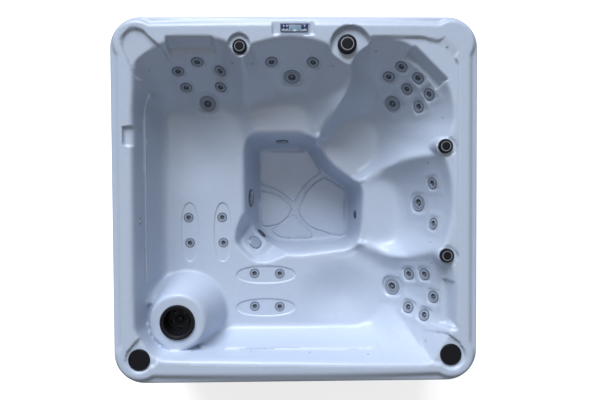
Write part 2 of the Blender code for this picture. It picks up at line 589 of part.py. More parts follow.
def square_net(cells):
    """Net of points that fills the rounded square inside the edge roll."""
    half, radius = HALF - EDGE_ROLL, CORNER_RADIUS - EDGE_ROLL
    steps = np.linspace(-1.0, 1.0, cells + 1)
    u, v = np.meshgrid(steps, steps, indexing='ij')
    ring = np.maximum(np.abs(u), np.abs(v))
    safe = np.where(ring == 0, 1.0, ring)
    x, y = u / safe * half, v / safe * half
    core = half - radius
    ox, oy = np.clip(np.abs(x) - core, 0, None), np.clip(np.abs(y) - core, 0, None)
    corner = (ox > 0) & (oy > 0)
    reach = np.where(corner, np.hypot(ox, oy), 1.0)
    scale = np.where(corner, radius / reach, 1.0)
    bx = np.sign(x) * np.where(corner, core + ox * scale, np.abs(x))
    by = np.sign(y) * np.where(corner, core + oy * scale, np.abs(y))
    return bx * ring, by * ring


def relax_net(x, y, height):
    """Draw the net together where the surface is steep, so its cells stay even along the surface."""
    for _ in range(NET_RELAX_ROUNDS):
        z = height(x, y)
        moved = []
        wx = np.hypot(np.diff(x, axis=0), np.diff(y, axis=0))
        wy = np.hypot(np.diff(x, axis=1), np.diff(y, axis=1))
        sx = np.sqrt(1 + (np.diff(z, axis=0) / np.maximum(wx, NET_LEAST_STEP)) ** 2)
        sy = np.sqrt(1 + (np.diff(z, axis=1) / np.maximum(wy, NET_LEAST_STEP)) ** 2)
        west, east = sx[:-1, 1:-1], sx[1:, 1:-1]
        south, north = sy[1:-1, :-1], sy[1:-1, 1:]
        total = west + east + south + north
        for p in (x, y):
            mean = (west * p[:-2, 1:-1] + east * p[2:, 1:-1] + south * p[1:-1, :-2]
                    + north * p[1:-1, 2:]) / total
            moved.append(mean)
        x[1:-1, 1:-1] += NET_RELAX_SHARE * (moved[0] - x[1:-1, 1:-1])
        y[1:-1, 1:-1] += NET_RELAX_SHARE * (moved[1] - y[1:-1, 1:-1])
    return x, y


def rolled_edge(ring_x, ring_y, ring_z):
    """Rows of points that turn the skin down over its edge, from the net's outer ring."""
    core = HALF - CORNER_RADIUS
    out_x, out_y = ring_x - np.clip(ring_x, -core, core), ring_y - np.clip(ring_y, -core, core)
    length = np.hypot(out_x, out_y)
    out_x, out_y = out_x / length, out_y / length
    rows = []
    for angle in (30, 60, 90):
        out = EDGE_ROLL * math.sin(math.radians(angle))
        down = EDGE_ROLL * (1 - math.cos(math.radians(angle)))
        rows.append((ring_x + out_x * out, ring_y + out_y * out, ring_z - down))
    last_x, last_y, _ = rows[-1]
    rows.append((last_x, last_y, np.full_like(ring_z, -LEDGE_DROP - LIP_DEPTH)))
    return rows


def shell_mesh(field):
    """Top skin of the shell with its rolled edge and lip."""
    x, y = square_net(NET_CELLS)
    x, y = relax_net(x, y, field.rough)
    z = field.height(x, y)
    n = NET_CELLS + 1
    verts = np.stack([x, y, z], axis=-1).reshape(-1, 3).tolist()
    faces = [(i * n + j, (i + 1) * n + j, (i + 1) * n + j + 1, i * n + j + 1)
             for i in range(n - 1) for j in range(n - 1)]
    ring = [(i, 0) for i in range(n - 1)] + [(n - 1, j) for j in range(n - 1)]
    ring += [(i, n - 1) for i in range(n - 1, 0, -1)] + [(0, j) for j in range(n - 1, 0, -1)]
    above = [i * n + j for i, j in ring]
    ring_x, ring_y, ring_z = (np.array([v[k] for v in (verts[m] for m in above)]) for k in range(3))
    for row_x, row_y, row_z in rolled_edge(ring_x, ring_y, ring_z):
        start = len(verts)
        verts += np.stack([row_x, row_y, row_z], axis=-1).tolist()
        below = list(range(start, start + len(above)))
        faces += [(above[k], below[k], below[(k + 1) % len(below)], above[(k + 1) % len(above)])
                  for k in range(len(above))]
        above = below
    mesh = bpy.data.meshes.new('shell')
    mesh.from_pydata([(vx, vy, vz + RIM_HEIGHT) for vx, vy, vz in verts], [], faces)
    return mesh


def finish(name, colour, roughness, metallic=0.0):
    """Plain Principled finish."""
    material = bpy.data.materials.new(name)
    material.use_nodes = True
    shader = material.node_tree.nodes['Principled BSDF']
    shader.inputs['Base Color'].default_value = (*colour, 1.0)
    shader.inputs['Roughness'].default_value = roughness
    shader.inputs['Metallic'].default_value = metallic
    return material


def add_object(name, mesh, material=None, matrix=None):
    """Put a mesh in the scene under a name."""
    obj = bpy.data.objects.new(name, mesh)
    bpy.context.scene.collection.objects.link(obj)
    if material is not None:
        mesh.materials.append(material)
    if matrix is not None:
        obj.matrix_world = matrix
    return obj


def mesh_from(bm, name, smooth=True):
    """Mesh from a bmesh, with faces pointing out."""
    bmesh.ops.remove_doubles(bm, verts=bm.verts, dist=MERGE_DISTANCE)
    bmesh.ops.recalc_face_normals(bm, faces=bm.faces)
    mesh = bpy.data.meshes.new(name)
    bm.to_mesh(mesh)
    bm.free()
    if smooth:
        mesh.shade_smooth()
        mesh.set_sharp_from_angle(angle=math.radians(SMOOTH_ANGLE))
    return mesh


def turn_into(bm, profile, sides, matrix=None):
    """Add a closed turned body to a bmesh, from (radius, height) points that start and end on the axis."""
    matrix = matrix or Matrix.Identity(4)
    rings = []
    for radius, height in profile:
        if radius == 0:
            rings.append([bm.verts.new(matrix @ Vector((0, 0, height)))])
            continue
        ring = []
        for k in range(sides):
            angle = 2 * math.pi * (k + 0.5) / sides
            place = Vector((radius * math.cos(angle), radius * math.sin(angle), height))
            ring.append(bm.verts.new(matrix @ place))
        rings.append(ring)
    for upper, lower in zip(rings, rings[1:]):
        for k in range(sides):
            corners = [upper[k % len(upper)], lower[k % len(lower)],
                       lower[(k + 1) % len(lower)], upper[(k + 1) % len(upper)]]
            unique = list(dict.fromkeys(corners))
            if len(unique) > 2:
                bm.faces.new(unique)


def turned(name, profile, sides, smooth=True):
    """Turned body as a mesh."""
    bm = bmesh.new()
    turn_into(bm, profile, sides)
    return mesh_from(bm, name, smooth)


def prism(bm, outline, low, high):
    """Add an upright prism over a plan outline."""
    bottom = [bm.verts.new((px, py, low)) for px, py in outline]
    top = [bm.verts.new((px, py, high)) for px, py in outline]
    bm.faces.new(bottom)
    bm.faces.new(top)
    for k in range(len(outline)):
        j = (k + 1) % len(outline)
        bm.faces.new((bottom[k], bottom[j], top[j], top[k]))


def join_rings(bm, rings):
    """Close a stack of equal rings of points into one body."""
    bm.faces.new(rings[0])
    bm.faces.new(rings[-1])
    for low, high in zip(rings, rings[1:]):
        for k in range(len(low)):
            j = (k + 1) % len(low)
            bm.faces.new((low[k], low[j], high[j], high[k]))


def stepped_block(bm, centre, rows):
    """Add an upright block from (half length, half width, height) rows round a centre."""
    join_rings(bm, [[bm.verts.new((centre[0] + sx * hx, centre[1] + sy * hy, z))
                     for sx, sy in ((1, 1), (-1, 1), (-1, -1), (1, -1))] for hx, hy, z in rows])


def box(bm, low, high):
    """Add a box between two corners."""
    prism(bm, [(low[0], low[1]), (high[0], low[1]), (high[0], high[1]), (low[0], high[1])], low[2], high[2])


def join_by(obj, other, operation):
    """Boolean with a helper object that stays out of the model."""
    other.hide_render = True
    other.display_type = 'WIRE'
    modifier = obj.modifiers.new(other.name, 'BOOLEAN')
    modifier.operation = operation
    modifier.solver = 'EXACT'
    modifier.object = other
    return modifier


def frame_at(point, normal):
    """Placement whose Z runs out of the shell."""
    turn = normal.to_track_quat('Z', 'Y').to_matrix().to_4x4()
    return Matrix.Translation(point) @ turn


class Seats:
    """Round seats for the fittings, cut in the shell in one go."""

    def __init__(self, field):
        self.field = field
        self.cutter = bmesh.new()

    def cut(self, matrix, seat_radius, hole_radius, reach):
        """Counterbore with a through hole."""
        profile = [(0, reach), (seat_radius, reach), (seat_radius, -SEAT_SINK), (hole_radius, -SEAT_SINK),
                   (hole_radius, -HOLE_REACH), (0, -HOLE_REACH)]
        turn_into(self.cutter, profile, SEAT_SIDES, matrix)

    def place(self, x, y, seat_radius, hole_radius, level=None):
        """Seat a fitting on the surface, on a flat of its own or on a level floor."""
        if level is None:
            point, normal = self.field.add_flat(x, y, seat_radius)
            reach = SEAT_REACH
        else:
            point, normal = Vector((x, y, RIM_HEIGHT + level)), Vector((0, 0, 1))
            reach = LEVEL_SEAT_REACH
        matrix = frame_at(point, normal)
        self.cut(matrix, seat_radius, hole_radius, reach)
        return matrix

    def wall_point(self, start, direction, depth):
        """Walk out from the footwell until the wall is reached at a depth."""
        near, far = 0.0, HALF / 2
        for _ in range(40):
            middle = (near + far) / 2
            x, y = start[0] * HALF + direction[0] * middle, start[1] * HALF + direction[1] * middle
            if float(self.field.height(np.array([x]), np.array([y]))[0]) < -depth:
                near = middle
            else:
                far = middle
        return start[0] * HALF + direction[0] * near, start[1] * HALF + direction[1] * near


def running_radius(radius, sides=SEAT_SIDES):
    """Largest radius that turns inside a seat or hole of flat sides."""
    return radius * math.cos(math.pi / sides) - GAP


def jet_mesh(kind, material):
    """Jet face with a raised rim and a nozzle cup, on a stem."""
    seat, hole, proud = JET_SIZES[kind]
    face, stem = running_radius(seat), running_radius(hole)
    foot = GAP - SEAT_SINK
    nozzle = face * JET_NOZZLE_SHARE
    cup = proud - (proud + SEAT_SINK) * JET_CUP_SHARE
    profile = [(0, cup), (nozzle, cup), (face * JET_RIM_SHARE, proud), (face, 0.0), (face, foot),
               (stem, foot), (stem, -STEM_LENGTH), (0, -STEM_LENGTH)]
    mesh = turned(kind + '_jet', profile, PIECE_SIDES)
    mesh.materials.append(material)
    return mesh


def build_jets(seats):
    """All jet faces, each a piece that turns in its own seat."""
    grey = finish('jet_grey', JET_GREY, 0.35)
    meshes = {kind: jet_mesh(kind, grey) for kind in JET_SIZES}
    for group, places in BACK_JET_SHARES.items():
        for number, (sx, sy, kind) in enumerate(places, 1):
            seat, hole, _ = JET_SIZES[kind]
            matrix = seats.place(sx * HALF, sy * HALF, seat, hole)
            add_object(f'{group}_jet_{number}', meshes[kind], None, matrix)


def valve_mesh(kind, material):
    """Valve cap with a ring groove and a sunk knob, on a stem."""
    seat, height = VALVE_SEATS[kind], VALVE_CAP_HEIGHT[kind]
    cap = running_radius(seat)
    stem = running_radius(seat * VALVE_STEM_SHARE)
    foot = GAP - SEAT_SINK
    drop = VALVE_KNOB_DROP
    profile = [(0, height), (cap * VALVE_KNOB_SHARE, height), (cap * VALVE_KNOB_SHARE, height - drop),
               (cap * VALVE_RING_SHARE, height - drop), (cap * VALVE_RING_SHARE, height),
               (cap - drop, height), (cap, height - drop), (cap, foot), (stem, foot),
               (stem, -STEM_LENGTH), (0, -STEM_LENGTH)]
    mesh = turned(kind + '_valve', profile, CAP_SIDES)
    mesh.materials.append(material)
    return mesh


def build_valves(seats):
    """Diverter handle and three air control knobs."""
    black = finish('valve_black', BLACK, 0.30)
    meshes = {kind: valve_mesh(kind, black) for kind in VALVE_SEATS}
    for name, (sx, sy) in VALVE_SHARES.items():
        kind = name[:3]
        depth = DIVERTER_POCKET_DEPTH if kind == 'div' else AIR_POCKET_DEPTH
        seat = VALVE_SEATS[kind]
        matrix = seats.place(sx * HALF, sy * HALF, seat, seat * VALVE_STEM_SHARE, level=-depth)
        node = 'diverter_handle' if kind == 'div' else 'air_control_knob_' + name[-1]
        add_object(node, meshes[kind], None, matrix)


def build_covers(seats):
    """Two round speaker covers in the lower corner recesses."""
    black = finish('cover_black', BLACK, 0.55)
    cover, stem = running_radius(COVER_SEAT_RADIUS), running_radius(COVER_HOLE_RADIUS)
    foot = GAP - SEAT_SINK
    edge = COVER_HEIGHT / 3
    profile = [(0, COVER_HEIGHT), (cover - edge * 2, COVER_HEIGHT - edge / 2),
               (cover, COVER_HEIGHT - edge * 2), (cover, foot), (stem, foot),
               (stem, -STEM_LENGTH), (0, -STEM_LENGTH)]
    mesh = turned('speaker_cover', profile, CAP_SIDES)
    mesh.materials.append(black)
    for name, (inset_x, inset_y) in COVER_INSETS.items():
        x = inset_x - HALF if name.endswith('left') else HALF - inset_x
        matrix = seats.place(x, inset_y - HALF, COVER_SEAT_RADIUS, COVER_HOLE_RADIUS, -CORNER_RECESS_DEPTH)
        add_object(name, mesh, None, matrix)


def build_wall_fittings(seats):
    """Suction covers and return fittings on the footwell walls, and the light lens in its niche."""
    pale = finish('fitting_pale', PALE_PLASTIC, 0.35)
    lens = finish('lens', LENS, 0.12)
    foot = GAP - SEAT_SINK
    for name, seat in WALL_FITTING_RADII.items():
        x, y = seats.wall_point(WALL_FITTING_START_SHARES[name], WALL_FITTING_WAY_SHARES[name],
                                FOOTWELL_DEPTH * WALL_FITTING_DEPTH_SHARE)
        hole = seat * WALL_FITTING_HOLE_SHARE
        matrix = seats.place(x, y, seat, hole)
        cover, stem = running_radius(seat), running_radius(hole)
        profile = [(0, WALL_FITTING_HEIGHT), (cover * JET_RIM_SHARE, WALL_FITTING_HEIGHT),
                   (cover, WALL_FITTING_HEIGHT / 4), (cover, foot), (stem, foot), (stem, -STEM_LENGTH),
                   (0, -STEM_LENGTH)]
        mesh = turned(name, profile, PIECE_SIDES)
        add_object(name, mesh, pale, matrix)
    matrix = seats.place(LIGHT_SHARES[0] * HALF, LIGHT_SHARES[1] * HALF, LIGHT_SEAT_RADIUS, LIGHT_HOLE_RADIUS)
    face, stem = running_radius(LIGHT_SEAT_RADIUS), running_radius(LIGHT_HOLE_RADIUS)
    profile = [(0, LIGHT_DOME)]
    for share in DOME_SHARES:
        profile.append((face * share, LIGHT_DOME * math.sqrt(1 - share * share)))
    profile += [(face, 0.0), (face, foot), (stem, foot), (stem, -STEM_LENGTH), (0, -STEM_LENGTH)]
    add_object('light_lens', turned('light_lens', profile, PIECE_SIDES), lens, matrix)


def build_control(cutters):
    """Topside control: a keypad in a flat pocket, with its body through the deck."""
    centre = (CONTROL_CENTRE_SHARES[0] * HALF, CONTROL_CENTRE_SHARES[1] * HALF)
    floor = RIM_HEIGHT - CONTROL_POCKET_DEPTH
    (face_x, face_y), (body_x, body_y) = [(sx / 2, sy / 2) for sx, sy in (CONTROL_SIZE, CONTROL_BODY_SIZE)]
    for hx, hy, low in ((face_x, face_y, floor - CONTROL_SINK), (body_x, body_y, floor - HOLE_REACH)):
        bm = bmesh.new()
        stepped_block(bm, centre, [(hx + GAP, hy + GAP, low), (hx + GAP, hy + GAP, floor + SEAT_REACH)])
        cutters.append(add_object('control_cutter_%d' % len(cutters), mesh_from(bm, 'control_cutter', False)))
    bm = bmesh.new()
    foot, top = floor - CONTROL_SINK + GAP, floor + CONTROL_HEIGHT
    stepped_block(bm, centre, [(body_x, body_y, floor - CONTROL_BODY_DEPTH), (body_x, body_y, foot),
                               (face_x, face_y, foot), (face_x, face_y, top - CONTROL_EDGE),
                               (face_x - CONTROL_EDGE, face_y - CONTROL_EDGE, top)])
    add_object('topside_control', mesh_from(bm, 'topside_control', False), finish('control_navy', NAVY, 0.25))


def filter_place():
    """Placement of the filter's upright axis on the tower."""
    cx, cy = TOWER_CENTRE_SHARES[0] * HALF, TOWER_CENTRE_SHARES[1] * HALF
    return Matrix.Translation(Vector((cx, cy, RIM_HEIGHT - TOWER_DEPTH)))


def build_filter_housing(seats, black):
    """Housing hung by its flange in the tower; returns the height of the flange's top."""
    place = filter_place()
    ring, bore, hole = FILTER_RING_RADIUS, FILTER_BORE_RADIUS, FILTER_BORE_RADIUS + FILTER_WALL
    cut = [(0, SEAT_REACH), (ring + GAP, SEAT_REACH), (ring + GAP, -SEAT_SINK), (hole + GAP, -SEAT_SINK),
           (hole + GAP, -HOLE_REACH), (0, -HOLE_REACH)]
    turn_into(seats.cutter, cut, FILTER_SIDES, place)
    foot = GAP - SEAT_SINK
    top = foot + FILTER_FLANGE
    profile = [(0, FILTER_WALL - FILTER_DEPTH), (bore, FILTER_WALL - FILTER_DEPTH), (bore, top), (ring, top),
               (ring, foot), (hole, foot), (hole, -FILTER_DEPTH), (0, -FILTER_DEPTH)]
    add_object('filter_housing', turned('filter_housing', profile, FILTER_SIDES), black, place)
    return top


def build_filter_basket(shelf, black):
    """Slotted basket hung by its ring on the housing; returns the height of its floor."""
    ring, wall = FILTER_RING_RADIUS, BASKET_WALL
    cup = running_radius(FILTER_BORE_RADIUS, FILTER_SIDES) - BASKET_CLEARANCE
    floor = shelf - BASKET_DEPTH
    rim = shelf + BASKET_RING_HEIGHT
    profile = [(0, floor + wall), (cup - wall, floor + wall), (cup - wall, rim), (ring - wall, rim),
               (ring, rim - wall), (ring, shelf), (cup, shelf), (cup, floor), (0, floor)]
    basket = add_object('filter_basket', turned('filter_basket', profile, FILTER_SIDES), black,
                        filter_place())
    bm = bmesh.new()
    near = (cup - BASKET_SLOT_LENGTH) / 2
    half_width = BASKET_SLOT_WIDTH / 2
    for k in range(BASKET_SLOTS):
        start = len(bm.verts)
        box(bm, (near, -half_width, floor - wall), (near + BASKET_SLOT_LENGTH, half_width, floor + 2 * wall))
        bm.verts.ensure_lookup_table()
        spin = Matrix.Rotation(2 * math.pi * k / BASKET_SLOTS, 4, 'Z')
        bmesh.ops.transform(bm, matrix=spin, verts=bm.verts[start:])
    slots = add_object('basket_slots', mesh_from(bm, 'basket_slots', False), None, filter_place())
    join_by(basket, slots, 'DIFFERENCE')
    return floor


def build_filter_cartridge(top):
    """Pleated cartridge with plain end caps and an open core, hung under the basket."""
    low = FILTER_WALL - FILTER_DEPTH + FILTER_FLOOR_CLEARANCE
    sides = CARTRIDGE_PLEATS * 2
    pleat_low, pleat_top = low + CARTRIDGE_CAP, top - CARTRIDGE_CAP
    rows = [(low, False), (pleat_low, False), (pleat_low, True), (pleat_top, True), (pleat_top, False),
            (top, False)]
    bm = bmesh.new()
    rings = []
    for height, pleated in rows:
        ring = []
        for k in range(sides):
            inset = CARTRIDGE_VALLEY + CARTRIDGE_PLEAT_DEPTH * (k % 2) if pleated else 0
            radius, angle = CARTRIDGE_RADIUS - inset, 2 * math.pi * k / sides
            ring.append(bm.verts.new((radius * math.cos(angle), radius * math.sin(angle), height)))
        rings.append(ring)
    join_rings(bm, rings)
    white = finish('pleats', FILTER_WHITE, 0.8)
    cartridge = add_object('filter_cartridge', mesh_from(bm, 'filter_cartridge'), white, filter_place())
    core = [(0, top + OVERRUN), (CARTRIDGE_CORE_RADIUS, top + OVERRUN),
            (CARTRIDGE_CORE_RADIUS, low - OVERRUN), (0, low - OVERRUN)]
    cutter = add_object('cartridge_core', turned('cartridge_core', core, PIECE_SIDES), None, filter_place())
    join_by(cartridge, cutter, 'DIFFERENCE')


def build_filter(seats):
    """Filter housing, basket and cartridge on one upright axis."""
    black = finish('filter_black', BLACK, 0.35)
    flange_top = build_filter_housing(seats, black)
    basket_floor = build_filter_basket(flange_top + GAP, black)
    build_filter_cartridge(basket_floor - GAP)


def corner_square(half, corner):
    """Rounded square outline with true arcs."""
    points = []
    for quarter in range(4):
        for k in range(CORNER_STEPS + 1):
            angle = math.pi / 2 * (quarter + k / CORNER_STEPS)
            cx = (half - corner) * (1 if quarter in (0, 3) else -1)
            cy = (half - corner) * (1 if quarter in (0, 1) else -1)
            points.append((cx + corner * math.cos(angle), cy + corner * math.sin(angle)))
    return points


def build_base():
    """Base pan: a shallow tray whose upturned rim holds the frame, and the block under the footwell."""
    outer = corner_square(CABINET_HALF + GAP + BASE_WALL, CABINET_CORNER + GAP + BASE_WALL)
    inner = corner_square(CABINET_HALF + GAP, CABINET_CORNER + GAP)
    bm = bmesh.new()
    rows = [(outer, 0.0), (outer, BASE_RIM_HEIGHT), (inner, BASE_RIM_HEIGHT), (inner, BASE_WALL)]
    rings = [[bm.verts.new((px, py, z)) for px, py in outline] for outline, z in rows]
    join_rings(bm, rings)
    add_object('base_pan', mesh_from(bm, 'base_pan'), finish('base_black', BLACK, 0.6))
    bm = bmesh.new()
    prism(bm, from_shares(SUPPORT_SHARES), BASE_WALL + GAP,
          RIM_HEIGHT - FOOTWELL_DEPTH - SHELL_THICKNESS - SUPPORT_SLACK)
    support = mesh_from(bm, 'footwell_support_block', False)
    add_object('footwell_support_block', support, finish('foam', FOAM, 0.9))


def corner_posts():
    """Four corner posts, each a quarter of a ring in plan."""
    bm = bmesh.new()
    centre = CABINET_HALF - CABINET_CORNER
    outline = []
    for radius, order in ((CABINET_CORNER, 1), (CABINET_CORNER - POST_WALL, -1)):
        for k in range(CORNER_STEPS + 1)[::order]:
            angle = math.pi / 2 * k / CORNER_STEPS
            outline.append((centre + radius * math.cos(angle), centre + radius * math.sin(angle)))
    for qx in (1, -1):
        for qy in (1, -1):
            prism(bm, [(qx * px, qy * py) for px, py in outline], BASE_WALL + GAP, TOP_RAIL_TOP)
    return mesh_from(bm, 'frame', False)


def four_sides(name, boxes):
    """Mesh of boxes made for the +Y side and turned to all four sides."""
    bm = bmesh.new()
    for turn in range(4):
        start = len(bm.verts)
        for low, high in boxes:
            box(bm, low, high)
        bm.verts.ensure_lookup_table()
        bmesh.ops.transform(bm, matrix=Matrix.Rotation(math.pi / 2 * turn, 4, 'Z'), verts=bm.verts[start:])
    return mesh_from(bm, name, False)


def build_frame():
    """Frame: four corner posts, bottom and top rails, and blocks that carry the deck."""
    frame = add_object('frame', corner_posts(), finish('frame_charcoal', CHARCOAL, 0.5))
    outer = CABINET_HALF - PANEL_THICKNESS - GAP
    reach = CABINET_HALF - CABINET_CORNER + RAIL_REACH
    rails = [((-reach, outer - RAIL_WIDTH, low), (reach, outer, low + RAIL_HEIGHT))
             for low in (BASE_WALL + GAP, TOP_RAIL_TOP - RAIL_HEIGHT)]
    y, top = HALF - BLOCK_INSET, RIM_HEIGHT - SHELL_THICKNESS - BLOCK_SLACK
    blocks = []
    for share in BLOCK_PLACE_SHARES:
        x = share * HALF
        blocks.append(((x - BLOCK_LENGTH / 2, y - BLOCK_WIDTH / 2, TOP_RAIL_TOP - RAIL_HEIGHT / 2),
                       (x + BLOCK_LENGTH / 2, y + BLOCK_WIDTH / 2, top)))
    join_by(frame, add_object('frame_rails', four_sides('frame_rails', rails)), 'UNION')
    join_by(frame, add_object('frame_blocks', four_sides('frame_blocks', blocks)), 'UNION')


def build_panels():
    """Four grooved cabinet panels; the one at +Y pulls off."""
    bottom, top = BASE_RIM_HEIGHT + GAP, PANEL_TOP
    outer, inner = CABINET_HALF, CABINET_HALF - PANEL_THICKNESS
    pitch = (top - bottom) / (PANEL_GROOVES + 1)
    profile = [(outer, bottom)]
    for k in range(1, PANEL_GROOVES + 1):
        z = bottom + k * pitch
        profile += [(outer, z - PANEL_GROOVE_WIDTH / 2), (outer - PANEL_GROOVE_DEPTH, z),
                    (outer, z + PANEL_GROOVE_WIDTH / 2)]
    profile += [(outer, top), (inner, top), (inner, bottom)]
    reach = CABINET_HALF - CABINET_CORNER - PANEL_END_GAP
    charcoal = finish('panel_charcoal', CHARCOAL, 0.55)
    bm = bmesh.new()
    ends = [[bm.verts.new((side * reach, py, pz)) for py, pz in profile] for side in (-1, 1)]
    for end in ends:
        bm.faces.new(end)
    for k in range(len(profile)):
        j = (k + 1) % len(profile)
        bm.faces.new((ends[0][k], ends[0][j], ends[1][j], ends[1][k]))
    mesh = mesh_from(bm, 'panel', False)
    mesh.materials.append(charcoal)
    for turn, name in enumerate(('access_panel', 'left_panel', 'back_panel', 'right_panel')):
        add_object(name, mesh, None, Matrix.Rotation(math.pi / 2 * turn, 4, 'Z'))


def pipe(name, points, material):
    """Rigid pipe through corner points, with round bends."""
    route = []
    corners = [Vector(p) for p in points]
    for k, corner in enumerate(corners):
        if k in (0, len(corners) - 1):
            route.append(corner)
            continue
        back, ahead = (corners[k - 1] - corner).normalized(), (corners[k + 1] - corner).normalized()
        start, end = corner + back * PIPE_BEND, corner + ahead * PIPE_BEND
        for step in range(PIPE_BEND_STEPS + 1):
            t = step / PIPE_BEND_STEPS
            route.append((1 - t) ** 2 * start + 2 * t * (1 - t) * corner + t * t * end)
    curve = bpy.data.curves.new(name, 'CURVE')
    curve.dimensions = '3D'
    spline = curve.splines.new('POLY')
    spline.points.add(len(route) - 1)
    for point, place in zip(spline.points, route):
        point.co = (*place, 1.0)
    curve.bevel_depth = PIPE_RADIUS
    curve.bevel_resolution = 2
    curve.use_fill_caps = True
    curve.materials.append(material)
    return add_object(name, curve)


def build_pump():
    """Pump lying along X: suction port, volute, neck and motor, with a foot and an upward outlet."""
    start = Vector((*PUMP_START, PUMP_AXIS_HEIGHT))
    volute_end = PUMP_PORT_LENGTH + PUMP_VOLUTE_LENGTH
    motor_start = volute_end + PUMP_NECK_LENGTH
    motor_end = motor_start + PUMP_MOTOR_LENGTH
    profile = [(0, motor_end), (PUMP_END_RADIUS, motor_end),
               (PUMP_MOTOR_RADIUS, motor_end - PUMP_NECK_LENGTH), (PUMP_MOTOR_RADIUS, motor_start),
               (PUMP_NECK_RADIUS, motor_start),
               (PUMP_NECK_RADIUS, volute_end), (PUMP_VOLUTE_RADIUS, volute_end),
               (PUMP_VOLUTE_RADIUS, PUMP_PORT_LENGTH),
               (PUMP_PORT_RADIUS, PUMP_PORT_LENGTH), (PUMP_PORT_RADIUS, 0), (0, 0)]
    bm = bmesh.new()
    turn_into(bm, profile, CAP_SIDES, Matrix.Translation(start) @ Matrix.Rotation(math.pi / 2, 4, 'Y'))
    pump = add_object('circulation_pump', mesh_from(bm, 'circulation_pump'), finish('pump_black', BLACK, 0.4))
    bm = bmesh.new()
    foot_x, half_y = start.x + motor_start, PUMP_FOOT_SIZE[1] / 2
    box(bm, (foot_x, start.y - half_y, BASE_WALL + GAP),
        (foot_x + PUMP_FOOT_SIZE[0], start.y + half_y, start.z - PUMP_MOTOR_RADIUS / 2))
    join_by(pump, add_object('pump_foot', mesh_from(bm, 'pump_foot', False)), 'UNION')
    outlet = Vector((start.x + PUMP_PORT_LENGTH + PUMP_VOLUTE_LENGTH / 2, start.y,
                     start.z + PUMP_VOLUTE_RADIUS + PUMP_PORT_LENGTH))
    bm = bmesh.new()
    turn_into(bm, [(0, outlet.z), (PUMP_PORT_RADIUS, outlet.z), (PUMP_PORT_RADIUS, start.z), (0, start.z)],
              PIECE_SIDES, Matrix.Translation((outlet.x, outlet.y, 0)))
    join_by(pump, add_object('pump_outlet', mesh_from(bm, 'pump_outlet')), 'UNION')
    return start, outlet


def build_pack():
    """Heater and control pack: a casing with bevelled top edges."""
    hx, hy = PACK_SIZE[0] / 2, PACK_SIZE[1] / 2
    floor = BASE_WALL + GAP
    top = floor + PACK_SIZE[2]
    bm = bmesh.new()
    rows = [(hx, hy, floor), (hx, hy, top - PACK_EDGE), (hx - PACK_EDGE, hy - PACK_EDGE, top)]
    stepped_block(bm, PACK_CENTRE, rows)
    casing = finish('pack_charcoal', CHARCOAL, 0.45)
    add_object('heater_control_pack', mesh_from(bm, 'heater_control_pack', False), casing)
    return top


def build_equipment():
    """Pump, control pack and pipework in the bay behind the access panel."""
    pump, outlet = build_pump()
    pack_top = build_pack()
    white = finish('pipe_white', PIPE_WHITE, 0.4)
    cover = bpy.data.objects['suction_cover_back'].matrix_world
    stem_end = cover @ Vector((0, 0, -STEM_LENGTH - GAP))
    away = cover.to_3x3() @ Vector((0, 0, -1))
    turn_point = stem_end + away * ((pump.y - stem_end.y) / away.y)
    inlet = Vector((pump.x - GAP, pump.y, pump.z))
    pipe('suction_pipe', [stem_end, turn_point, inlet - Vector((PUMP_APPROACH, 0, 0)), inlet], white)
    riser = outlet + Vector((0, 0, GAP))
    over = RIM_HEIGHT * PIPE_TOP_SHARE
    drop_x = PACK_CENTRE[0] + (0.5 - PACK_INLET_SHARE) * PACK_SIZE[0]
    pipe('heater_feed_pipe', [riser, (riser.x, riser.y, over), (drop_x, pump.y, over),
                              (drop_x, pump.y, pack_top + GAP)], white)
    side_x = PACK_CENTRE[0] - PACK_SIZE[0] / 2 - GAP
    pipe('water_manifold', [(side_x, pump.y, PACK_PIPE_HEIGHT), (MANIFOLD_X, pump.y, PACK_PIPE_HEIGHT),
                            (MANIFOLD_X, MANIFOLD_END_Y, PACK_PIPE_HEIGHT)], white)


def build_shell(field, cutters):
    """Shell: skin thinned to few faces, thickened downwards, then cut for its fittings."""
    shell = add_object('shell', shell_mesh(field), finish('acrylic', ACRYLIC, 0.28))
    shell.data.shade_smooth()
    thin = shell.modifiers.new('thin', 'DECIMATE')
    thin.ratio = NET_FACE_SHARE
    wall = shell.modifiers.new('wall', 'SOLIDIFY')
    wall.thickness = SHELL_THICKNESS
    wall.offset = -1.0
    for cutter in cutters:
        join_by(shell, cutter, 'DIFFERENCE')
    return shell


def main():
    """Build the whole tub."""
    for old in list(bpy.data.objects):
        bpy.data.objects.remove(old)
    field = ShellField()
    seats = Seats(field)
    build_jets(seats)
    build_valves(seats)
    build_covers(seats)
    build_wall_fittings(seats)
    build_filter(seats)
    cutters = []
    build_control(cutters)
    cutters.insert(0, add_object('seat_cutters', mesh_from(seats.cutter, 'seat_cutters', False)))
    build_shell(field, cutters)
    build_base()
    build_frame()
    build_panels()
    build_equipment()


main()
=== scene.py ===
"""Looks of a square acrylic hot tub: moulded shell, water fittings, filter, keypad, cabinet and studio.

Lengths are metres and +Z is up, with the origin at the bottom centre of the base. +X is the side with two air
controls, and +Y is the side with the topside control.
"""
import json
import logging
import math
from dataclasses import dataclass, field, replace
from enum import Enum
from typing import Callable, Optional, Sequence

import bmesh
import bpy
import numpy as np
from mathutils import Matrix, Vector


